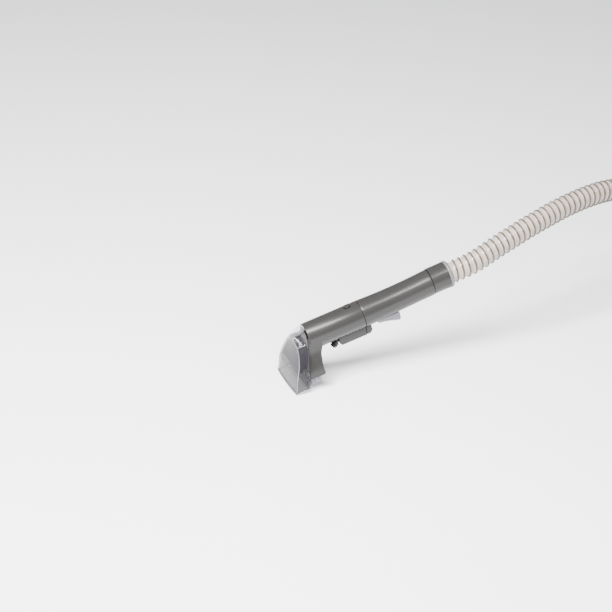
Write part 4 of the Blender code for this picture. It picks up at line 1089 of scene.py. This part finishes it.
def make_grip():
    make_grip_half("grip_shell_left", 1, "handle_left_shell")
    make_grip_half("grip_shell_right", -1, "handle_right_shell")
    places = [(x, screw_reach(x) - 0.0018, axis_height(x) - SCREW_DROP) for x in SCREWS]
    turns = [(pi / 2, 0.5 + 0.8 * i, 0) for i in range(len(SCREWS))]
    head = screw_head("grip_screw_form", 0.0027, 0.0012)
    made = copies("grip_screws", head, places, turns, "stainless_steel")
    finish(made, "stainless_steel", "handle", "steel",
           "handle_screw_1", "handle_screw_2", "handle_screw_3")


def make_spigot():
    """The plug that carries the front tube, narrowing to the suction duct, with its groove."""
    outer, wall, narrow = BORE_RADIUS - CLEARANCE, 0.0030, 0.012
    start, stop = SEAM - 0.0220, SEAM + 0.0297

    def station(x, inset):
        share = min(1.0, max(0.0, (x - SEAM) / narrow))
        radius = outer + (0.0122 - outer) * share
        thick = wall + (0.0016 - wall) * share
        return circle(x, axis_height(x) + 0.0032 * share, radius - inset * thick, 96)

    stations = [start + 0.0006, *np.linspace(SEAM, SEAM + narrow, 9), stop]
    skin = [circle(start, 0, outer - 0.0006)] + [station(x, 0) for x in stations]
    bore = [station(x, 1) for x in [start, *np.linspace(SEAM, SEAM + narrow, 9), stop]][::-1]
    spigot = loft("handle_spigot_tube", skin + bore, closed=True)
    cut(spigot, block("groove", (start - 0.001, -0.0030, outer - 0.0022),
                      (BUTTON_X + 0.0032, 0.0030, outer + 0.001)))
    soften(spigot, 0.0003, 2, 45)
    finish(spigot, "spigot_grey",
           "handle", "dark_plastic", "handle_spigot")


def make_collar():
    """The sleeve at the hose end of the grip and its thicker end ring."""
    length, radius = COLLAR_END - GRIP_END - CLEARANCE, COLLAR_RADIUS
    sleeve = turned("hose_collar_sleeve", [
        (length, radius - 0.0004), (length - 0.0004, radius + 0.0003),
        (length * 0.8, radius + 0.00015), (length * 0.45, radius), (0.0005, radius),
        (0.0003, radius - 0.0002),
        (0.0003, radius - SHELL_WALL), (length, radius - SHELL_WALL),
    ], (GRIP_END + CLEARANCE / 2, 0, COLLAR_RISE))
    finish(sleeve, "gunmetal_plastic", "handle", "dark_plastic", "hose_collar")
    bore = HOSE_DIAMETER / 2 - 0.0016
    ring = turned("hose_end_ring", [
        (0.0047, 0.0186), (0.0043, 0.0193), (0.0036, 0.0198), (0.0026, 0.0200), (0.0012, 0.0200),
        (0.0005, 0.0197), (0, 0.0191), (0, bore), (0.0040, bore), (0.0047, bore + 0.0006),
    ], (COLLAR_END, 0, COLLAR_RISE))
    finish(ring, "end_ring_grey",
           "handle", "dark_plastic", "collar_end_ring")


def make_trigger():
    """The pale curved trigger, with a shallow finger dish and a bored pivot."""
    tip, deep, arm_top = 0.0353, -0.0174, -0.0035
    outline = [(-0.0030, -0.0016), (-0.0016, -0.0034), (0.0020, -0.0082)]
    for share in np.linspace(0.12, 1.0, 9):
        x = 0.0020 + (tip - 0.0100) * share
        z = -0.0082 + (deep + 0.0022 + 0.0082) * share
        outline.append((x, z + 0.0007 * sin(pi * share)))
    outline += [(tip - 0.0020, deep), (tip, deep + 0.0016), (tip + 0.0006, -0.0066),
                (tip - 0.0010, arm_top), (0.0060, arm_top), (0.0022, 0.0022), (0, 0.0031),
                (-0.0024, 0.0020)]
    lever = plate("trigger_lever", outline, 0.0075)
    soften(lever, 0.0011, 4, 40)
    cut(lever, rod("bore", (0, 0, 0), (0, 1, 0), 0.00158, 0.03))
    lever.data.transform(Matrix.Translation(PIVOT))
    finish(lever, "pale_trigger_plastic", "trigger", "lilac_plastic", "trigger", angle=28)
    pin = turned("trigger_pivot_pin", [
        (-0.0104, 0), (-0.0104, 0.0012), (-0.0101, 0.0015), (0.0101, 0.0015), (0.0104, 0.0012),
        (0.0104, 0),
    ], PIVOT, (0, 1, 0), 32)
    finish(pin, "stainless_steel", "handle", "steel", "trigger_pin")


def wound_spring(name, centre, radius, height, turns, wire):
    """A small coil spring standing along z."""
    count = int(turns * 24)
    along = np.linspace(0, height, count + 1)
    places = [(centre[0], centre[1], centre[2] + rise) for rise in along]
    line = points_mesh(name, places, chain=True, along=along,
                       across=[(1, 0, 0)] * (count + 1), aside=[(0, 1, 0)] * (count + 1))
    return coil_tree().grow(line, "stainless_steel", Pitch=height / turns, Coil_Radius=radius,
                            Wire_Radius=wire)


def make_springs():
    low = -0.0136 - 0.0042 + 0.0008 + CLEARANCE
    valve = wound_spring("valve_return_spring", (VALVE_X, 0, low), 0.0021, 0.0027, 2.5, 0.00022)
    finish(valve, "stainless_steel", "handle", "steel", "valve_spring")
    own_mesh(valve)
    rest = wound_spring("button_return_spring", (BUTTON_X, 0, SEAT_FLOOR + 0.0004), 0.0034, 0.0009,
                        1.5, 0.0002)
    finish(rest, "stainless_steel", "front_tool", "steel", "button_spring")
    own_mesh(rest)


def make_inner_parts():
    """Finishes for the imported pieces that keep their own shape."""
    finishes = {
        "liner_dark": ("nozzle_liner",),
        "duct_grey": ("suction_duct",),
        "nozzle_seal_rubber": ("nozzle_gasket",),
        "soft_black_rubber": ("barrel_seal", "hose_cuff", "nipple_ring", "connector_seal"),
        "white_solution_plastic": ("valve_body", "solution_inlet_tube", "solution_outlet_tube",
                                   "front_solution_tube", "solution_nipple"),
        "stainless_steel": ("valve_plunger",),
    }
    for material, nodes in finishes.items():
        for name in nodes:
            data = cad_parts[name].data
            data.materials.clear()
            data.materials.append(look(material))


# Hose ------------------------------------------------------------------------------
def smooth_line(knots, step):
    """Points about step apart on a smooth curve through the knots."""
    ends = [knots[0] * 2 - knots[1]] + knots + [knots[-1] * 2 - knots[-2]]
    line = []
    for a, b, c, d in zip(ends, ends[1:], ends[2:], ends[3:]):
        t1 = sqrt((b - a).length)
        t2 = t1 + sqrt((c - b).length)
        t3 = t2 + sqrt((d - c).length)
        count = max(1, round((c - b).length / step))
        for i in range(count):
            t = t1 + (t2 - t1) * i / count
            ab, bc = a.lerp(b, t / t1), b.lerp(c, (t - t1) / (t2 - t1))
            cd = c.lerp(d, (t - t2) / (t3 - t2))
            early, late = ab.lerp(bc, t / t2), bc.lerp(cd, (t - t1) / (t3 - t1))
            line.append(early.lerp(late, (t - t1) / (t2 - t1)))
    return line + [knots[-1]]


def hose_knots():
    start = in_row(HOSE_START + 0.0006, 0, COLLAR_RISE)
    ahead = in_row(HOSE_START + 0.035, 0, COLLAR_RISE + 0.0006)
    return [start, ahead] + [Vector(point) for point in HOSE_KNOTS]


def even_path(step):
    """The hose's route at even steps: places, two directions across it, and distance."""
    rough = np.array([tuple(point) for point in smooth_line(hose_knots(), 0.004)])
    reach = np.concatenate([[0], np.cumsum(np.linalg.norm(np.diff(rough, axis=0), axis=1))])
    along = np.linspace(0, reach[-1], int(round(reach[-1] / step)) + 1)
    places = np.stack([np.interp(along, reach, rough[:, i]) for i in range(3)], 1)
    for _ in range(4):
        places[1:-1] = (places[:-2] + 2 * places[1:-1] + places[2:]) / 4
    ahead = np.gradient(places, axis=0)
    ahead /= np.linalg.norm(ahead, axis=1)[:, None]
    across = np.zeros_like(places)
    across[0] = np.cross(ahead[0], (0, 1, 0))
    for i in range(1, len(places)):
        across[i] = across[i - 1] - ahead[i] * np.dot(across[i - 1], ahead[i])
        across[i] /= np.linalg.norm(across[i])
    across[0] /= np.linalg.norm(across[0])
    return places, across, np.cross(ahead, across), along


def swept(places, across, aside, radii, sides):
    """A tube of round rings; radii is one value for all, or one a point of each ring."""
    turn = np.linspace(0, 2 * pi, sides, endpoint=False)
    wave = np.cos(turn)[:, None], np.sin(turn)[:, None]
    out = across[:, None] * wave[0] + aside[:, None] * wave[1]
    return places[:, None] + out * np.broadcast_to(radii, out.shape[:2])[:, :, None]


def make_hose():
    """The ribbed hose: a clear wall that bellies between the turns of its wound wire."""
    pitch, wire = sizes().rib_pitch, sizes().wire_radius
    coil = HOSE_DIAMETER / 2 - wire
    sides = 26
    places, across, aside, along = even_path(pitch / 8)
    turn = np.linspace(0, 2 * pi, sides, endpoint=False)
    phase = turn[None, :] + 2 * pi * along[:, None] / pitch
    crest = (0.5 + 0.5 * np.cos(phase)) ** 2
    belly = (0.5 - 0.5 * np.cos(phase)) ** 2
    outer = swept(places, across, aside, coil - 0.0014 + 0.0012 * crest + 0.0004 * belly, sides)
    rare = slice(None, None, 6)
    inner = swept(places[rare], across[rare], aside[rare], coil - 0.0024, sides)
    last = swept(places[-1:], across[-1:], aside[-1:], coil - 0.0024, sides)
    wall = loft("hose_wall", [*outer, *last, *inner[::-1]], closed=True)
    finish(wall, "clear_hose_wall", "handle", "hose_plastic", "hose", tipped=False, angle=60)

    thin = even_path(pitch / 20)
    core = points_mesh("hose_spiral_wire", thin[0], chain=True, along=thin[3], across=thin[1],
                       aside=thin[2])
    coil_tree().grow(core, "brown_wire_coat", Pitch=pitch, Coil_Radius=coil, Wire_Radius=wire)
    finish(core, "brown_wire_coat", "handle", "hose_plastic", tipped=False, angle=60)

    few = slice(2, -8, 5)
    sway = 2.2 * pi * along[few] / 0.16
    drift = across[few] * np.cos(sway)[:, None] + aside[few] * np.sin(0.7 * sway)[:, None]
    drift *= 0.0062
    line = loft("solution_line", swept(places[few] + drift, across[few], aside[few], 0.0034, 14))
    finish(line, "solution_line_plastic", "handle", "hose_plastic", tipped=False, angle=60)
    return places


def connector_frame():
    """Matrix from a connector along +z to its place at the end of the hose."""
    return Matrix.Translation(PLUG_PLACE) @ Matrix.Rotation(-pi / 2, 4, "Y")


def make_connector():
    """The machine plug: ribbed grip sleeve, shoulder, latch pads and a smooth spigot."""
    length, neck = 0.0850, HOSE_DIAMETER / 2 + 0.0018
    profile = [
        (length, 0.0172), (length - 0.0006, 0.0178), (length * 0.55 + 0.0004, 0.0182),
        (length * 0.55, 0.0208), (length * 0.55 - 0.0008, 0.0213), (length * 0.50, 0.0215),
        (length * 0.46, 0.0215), (length * 0.45, 0.0209), (length * 0.22, 0.0209),
        (length * 0.20, 0.0215), (length * 0.17, 0.0214), (0.0040, neck + 0.0006), (0.0018, neck),
        (0.0008, neck - 0.0010), (0.0008, 0.0120), (length * 0.5, 0.0132),
        (length - 0.0008, 0.0148),
        (length, 0.0154),
    ]
    plug = turned("machine_plug", profile, axis=(0, 0, 1))
    plug.data.transform(connector_frame())
    finish(plug, "gunmetal_plastic", "handle", "dark_plastic", "hose_connector", tipped=False)
    rib = block("grip_rib_form", (-0.0011, -0.0006, -0.0095), (0.0006, 0.0006, 0.0095))
    soften(rib, 0.0004, 3)
    turns = np.linspace(0, 2 * pi, 24, endpoint=False)
    ribs = copies("machine_plug_ribs", rib,
                  [(0.0209 * cos(a), 0.0209 * sin(a), length * 0.335) for a in turns],
                  [(0, 0, a) for a in turns], "gunmetal_plastic")
    ribs.data.transform(connector_frame())
    finish(ribs, "gunmetal_plastic", "handle", "dark_plastic", tipped=False)
    return plug, ribs


STRAP_X, STRAP_HALF = 0.733, 0.011


def make_strap(places):
    """The woven strap round the folded hose: thin, following both runs, with an overlap."""
    def nearest(y):
        spots = places[(abs(places[:, 0] - STRAP_X) < 0.02) & (abs(places[:, 1] - y) < 0.02)]
        return spots[np.argmin(abs(spots[:, 0] - STRAP_X))][1]

    out, back = nearest(0.105), nearest(0.067)
    centre, reach = (out + back) / 2, abs(out - back) / 2
    steps = np.linspace(0, 1, 21)

    def outline(grow, under):
        radius, low = HOSE_DIAMETER / 2 + grow, -HOSE_DIAMETER / 2 - under
        ring = []
        for side in (1, -1):
            for share in steps:
                a = pi / 2 - pi * share
                y = centre + side * (reach + radius * cos(a))
                ring.append((y, LAID + max(low, side * radius * sin(a))))
        return ring

    def loop(name, half, grow, thick, under):
        rings = []
        for x, inset in ((-half, 0.0003), (-half + 0.0006, 0), (half - 0.0006, 0), (half, 0.0003)):
            rings.append([(STRAP_X + x, y, z) for y, z in outline(grow + thick - inset, under)])
        for x in (half, -half):
            rings.append([(STRAP_X + x, y, z) for y, z in outline(grow, 0.0004)])
        return loft(name, rings, closed=True)

    strap = loop("hose_strap", STRAP_HALF, 0.0012, 0.0016, 0.0010)
    finish(strap, "strap_weave", "handle", "strap", "hose_tie", tipped=False)

    top = LAID + HOSE_DIAMETER / 2 + 0.0029
    flap_points = [(centre - reach + 0.002, top), (centre, top + 0.0001),
                   (centre + reach - 0.006, top)]
    flap = loft("strap_end_flap", [
        [(STRAP_X + x * STRAP_HALF * (0.7 if i == 0 else 1.0), y, z + rise)
         for x, rise in ((-0.96, 0), (0.96, 0), (0.96, 0.0013), (-0.96, 0.0013))]
        for i, (y, z) in enumerate(flap_points)
    ])
    soften(flap, 0.0004, 2)
    finish(flap, "strap_weave", "handle", "strap", tipped=False)

    stitch = turned("stitch_form", [(-0.0009, 0), (-0.0009, 0.0001), (-0.0005, 0.00022),
                                    (0.0005, 0.00022), (0.0009, 0.0001), (0.0009, 0)], sides=8)
    spots = [(STRAP_X + x, centre + reach - 0.0085 - row, top + 0.0014)
             for row in (0.0, 0.0035) for x in np.linspace(-0.0082, 0.0082, 7)]
    seam = copies("strap_stitches", stitch, spots, [(0, 0, 0)] * len(spots), "stitch_thread")
    finish(seam, "stitch_thread",
           "handle", "strap", tipped=False)
    return strap, flap, seam


# Stage -----------------------------------------------------------------------------
VIEW_TURN, VIEW_RISE = radians(-21), radians(29)
VIEW_DISTANCE = 3.0
VIEW_WIDTH = 0.869             # of the picture, at the tool
VIEW_LEFT, VIEW_UP = 0.0769, 0.01125    # from the seam to the middle of the picture
SENSOR = 36
LOOK_AT = in_row(SEAM, 0, 0)


def view_axes():
    """Right, up and ahead of the camera."""
    right = Vector((cos(VIEW_TURN), sin(VIEW_TURN), 0))
    level = cos(VIEW_RISE)
    ahead = Vector((-sin(VIEW_TURN) * level, cos(VIEW_TURN) * level, -sin(VIEW_RISE)))
    return right, right.cross(ahead), ahead


def make_camera():
    right, up, ahead = view_axes()
    data = bpy.data.cameras.new("view")
    camera = link("view", data)
    data.sensor_width = SENSOR
    data.lens = SENSOR * VIEW_DISTANCE / VIEW_WIDTH
    data.clip_end = 50
    middle = LOOK_AT - right * VIEW_LEFT + up * VIEW_UP
    camera.location = middle - ahead * VIEW_DISTANCE
    camera.rotation_euler = ahead.to_track_quat("-Z", "Y").to_euler()
    bpy.context.scene.camera = camera


def area_light(name, place, aim, size, power, mirrored=True):
    data = bpy.data.lights.new(name, "AREA")
    data.shape = "RECTANGLE"
    data.size, data.size_y = size
    data.energy = power
    made = link(name, data)
    made.location = place
    made.rotation_euler = (Vector(aim) - Vector(place)).to_track_quat("-Z", "Y").to_euler()
    made.visible_glossy = mirrored


def make_floor():
    build = bmesh.new()
    bmesh.ops.create_grid(build, x_segments=8, y_segments=8, size=9)
    bmesh.ops.translate(build, vec=(0, 3, FLOOR - 0.0003), verts=build.verts)
    mesh = plain_mesh("floor", build)
    mesh.materials.append(look("pale_floor"))
    link("floor", mesh)


def make_lights():
    world = bpy.data.worlds.new("studio")
    bpy.context.scene.world = world
    world.use_nodes = True
    sky = world.node_tree.nodes["Background"]
    sky.inputs["Color"].default_value = (0.97, 0.98, 1.0, 1)
    sky.inputs["Strength"].default_value = 0.40
    area_light("key_light", (-1.5, -0.5, 1.9), (-0.1, -0.05, 0), (1.0, 1.0), 190, False)
    area_light("strip_light", (-0.55, -0.50, 1.45), (-0.05, 0, 0), (1.3, 0.26), 84)
    area_light("front_fill", (-0.6, -2.1, 1.3), (-0.15, -0.45, FLOOR), (1.8, 1.0), 85, False)


# Operators -------------------------------------------------------------------------
class HANDTOOL_OT_stage(bpy.types.Operator):
    """Add the pale floor, the studio lights and the camera"""

    bl_idname = "handtool.stage"
    bl_label = "Stage"

    def execute(self, context):
        make_floor()
        make_lights()
        make_camera()
        return {"FINISHED"}


class HANDTOOL_OT_hose(bpy.types.Operator):
    """Build the ribbed hose with its plug, ribs and strap"""

    bl_idname = "handtool.hose"
    bl_label = "Hose"

    def execute(self, context):
        places = make_hose()
        made = [*make_connector(), *make_strap(places)]
        made += [bpy.data.objects[name] for name in ("hose_spiral_wire", "solution_line")]
        return {"FINISHED"}


class HANDTOOL_OT_front_tube(bpy.types.Operator):
    """Build the front tube with its flared head"""

    bl_idname = "handtool.front_tube"
    bl_label = "Front Tube"

    def execute(self, context):
        make_front_tube()
        return {"FINISHED"}


class HANDTOOL_OT_button(bpy.types.Operator):
    """Build the oval release button"""

    bl_idname = "handtool.button"
    bl_label = "Release Button"

    def execute(self, context):
        make_button()
        return {"FINISHED"}


class HANDTOOL_OT_nozzle(bpy.types.Operator):
    """Build the clear suction nozzle"""

    bl_idname = "handtool.nozzle"
    bl_label = "Clear Nozzle"

    def execute(self, context):
        make_nozzle()
        make_nozzle_beads()
        make_nozzle_hood()
        return {"FINISHED"}


class HANDTOOL_OT_brush(bpy.types.Operator):
    """Build the brush strip, its bristles and screws"""

    bl_idname = "handtool.brush"
    bl_label = "Brush"

    def execute(self, context):
        make_brush()
        return {"FINISHED"}


class HANDTOOL_OT_housing(bpy.types.Operator):
    """Build the solution housing, the block behind it and the spray jet"""

    bl_idname = "handtool.housing"
    bl_label = "Housing And Jet"

    def execute(self, context):
        make_housing()
        make_spray_tip()
        return {"FINISHED"}


class HANDTOOL_OT_grip(bpy.types.Operator):
    """Build the two grip shells, their screws and the spigot"""

    bl_idname = "handtool.grip"
    bl_label = "Grip"

    def execute(self, context):
        make_grip()
        make_spigot()
        return {"FINISHED"}


class HANDTOOL_OT_collar(bpy.types.Operator):
    """Build the hose collar and its end ring"""

    bl_idname = "handtool.collar"
    bl_label = "Collar"

    def execute(self, context):
        make_collar()
        return {"FINISHED"}


class HANDTOOL_OT_trigger(bpy.types.Operator):
    """Build the pale trigger and its pin"""

    bl_idname = "handtool.trigger"
    bl_label = "Trigger"

    def execute(self, context):
        make_trigger()
        return {"FINISHED"}


class HANDTOOL_OT_inner(bpy.types.Operator):
    """Give the inner parts their finishes and build the two small springs"""

    bl_idname = "handtool.inner"
    bl_label = "Inner Parts"

    def execute(self, context):
        make_inner_parts()
        make_springs()
        return {"FINISHED"}


OPERATORS = (
    HANDTOOL_OT_stage,
    HANDTOOL_OT_hose,
    HANDTOOL_OT_front_tube,
    HANDTOOL_OT_button,
    HANDTOOL_OT_nozzle,
    HANDTOOL_OT_brush,
    HANDTOOL_OT_housing,
    HANDTOOL_OT_grip,
    HANDTOOL_OT_collar,
    HANDTOOL_OT_trigger,
    HANDTOOL_OT_inner,
)


class HANDTOOL_PT_panel(bpy.types.Panel):
    """The tool's sizes, colours and pieces"""

    bl_label = "Hand Tool"
    bl_idname = "HANDTOOL_PT_panel"
    bl_space_type = "VIEW_3D"
    bl_region_type = "UI"
    bl_category = "Hand Tool"

    def draw(self, context):
        for group in (context.scene.hand_tool_sizes, context.scene.hand_tool_colours):
            column = self.layout.column(align=True)
            for name in type(group).__annotations__:
                column.prop(group, name)
        for operator in OPERATORS:
            self.layout.operator(operator.bl_idname)


CLASSES = (HandToolSizes, HandToolColours, *OPERATORS, HANDTOOL_PT_panel)


def register():
    for each in CLASSES:
        bpy.utils.register_class(each)
    bpy.types.Scene.hand_tool_sizes = PointerProperty(type=HandToolSizes)
    bpy.types.Scene.hand_tool_colours = PointerProperty(type=HandToolColours)


def unregister():
    del bpy.types.Scene.hand_tool_sizes
    del bpy.types.Scene.hand_tool_colours
    for each in reversed(CLASSES):
        bpy.utils.unregister_class(each)


def main():
    register()
    for operator in OPERATORS:
        getattr(bpy.ops.handtool, operator.bl_idname.split(".")[1])()


if __name__ == "__main__":
    main()
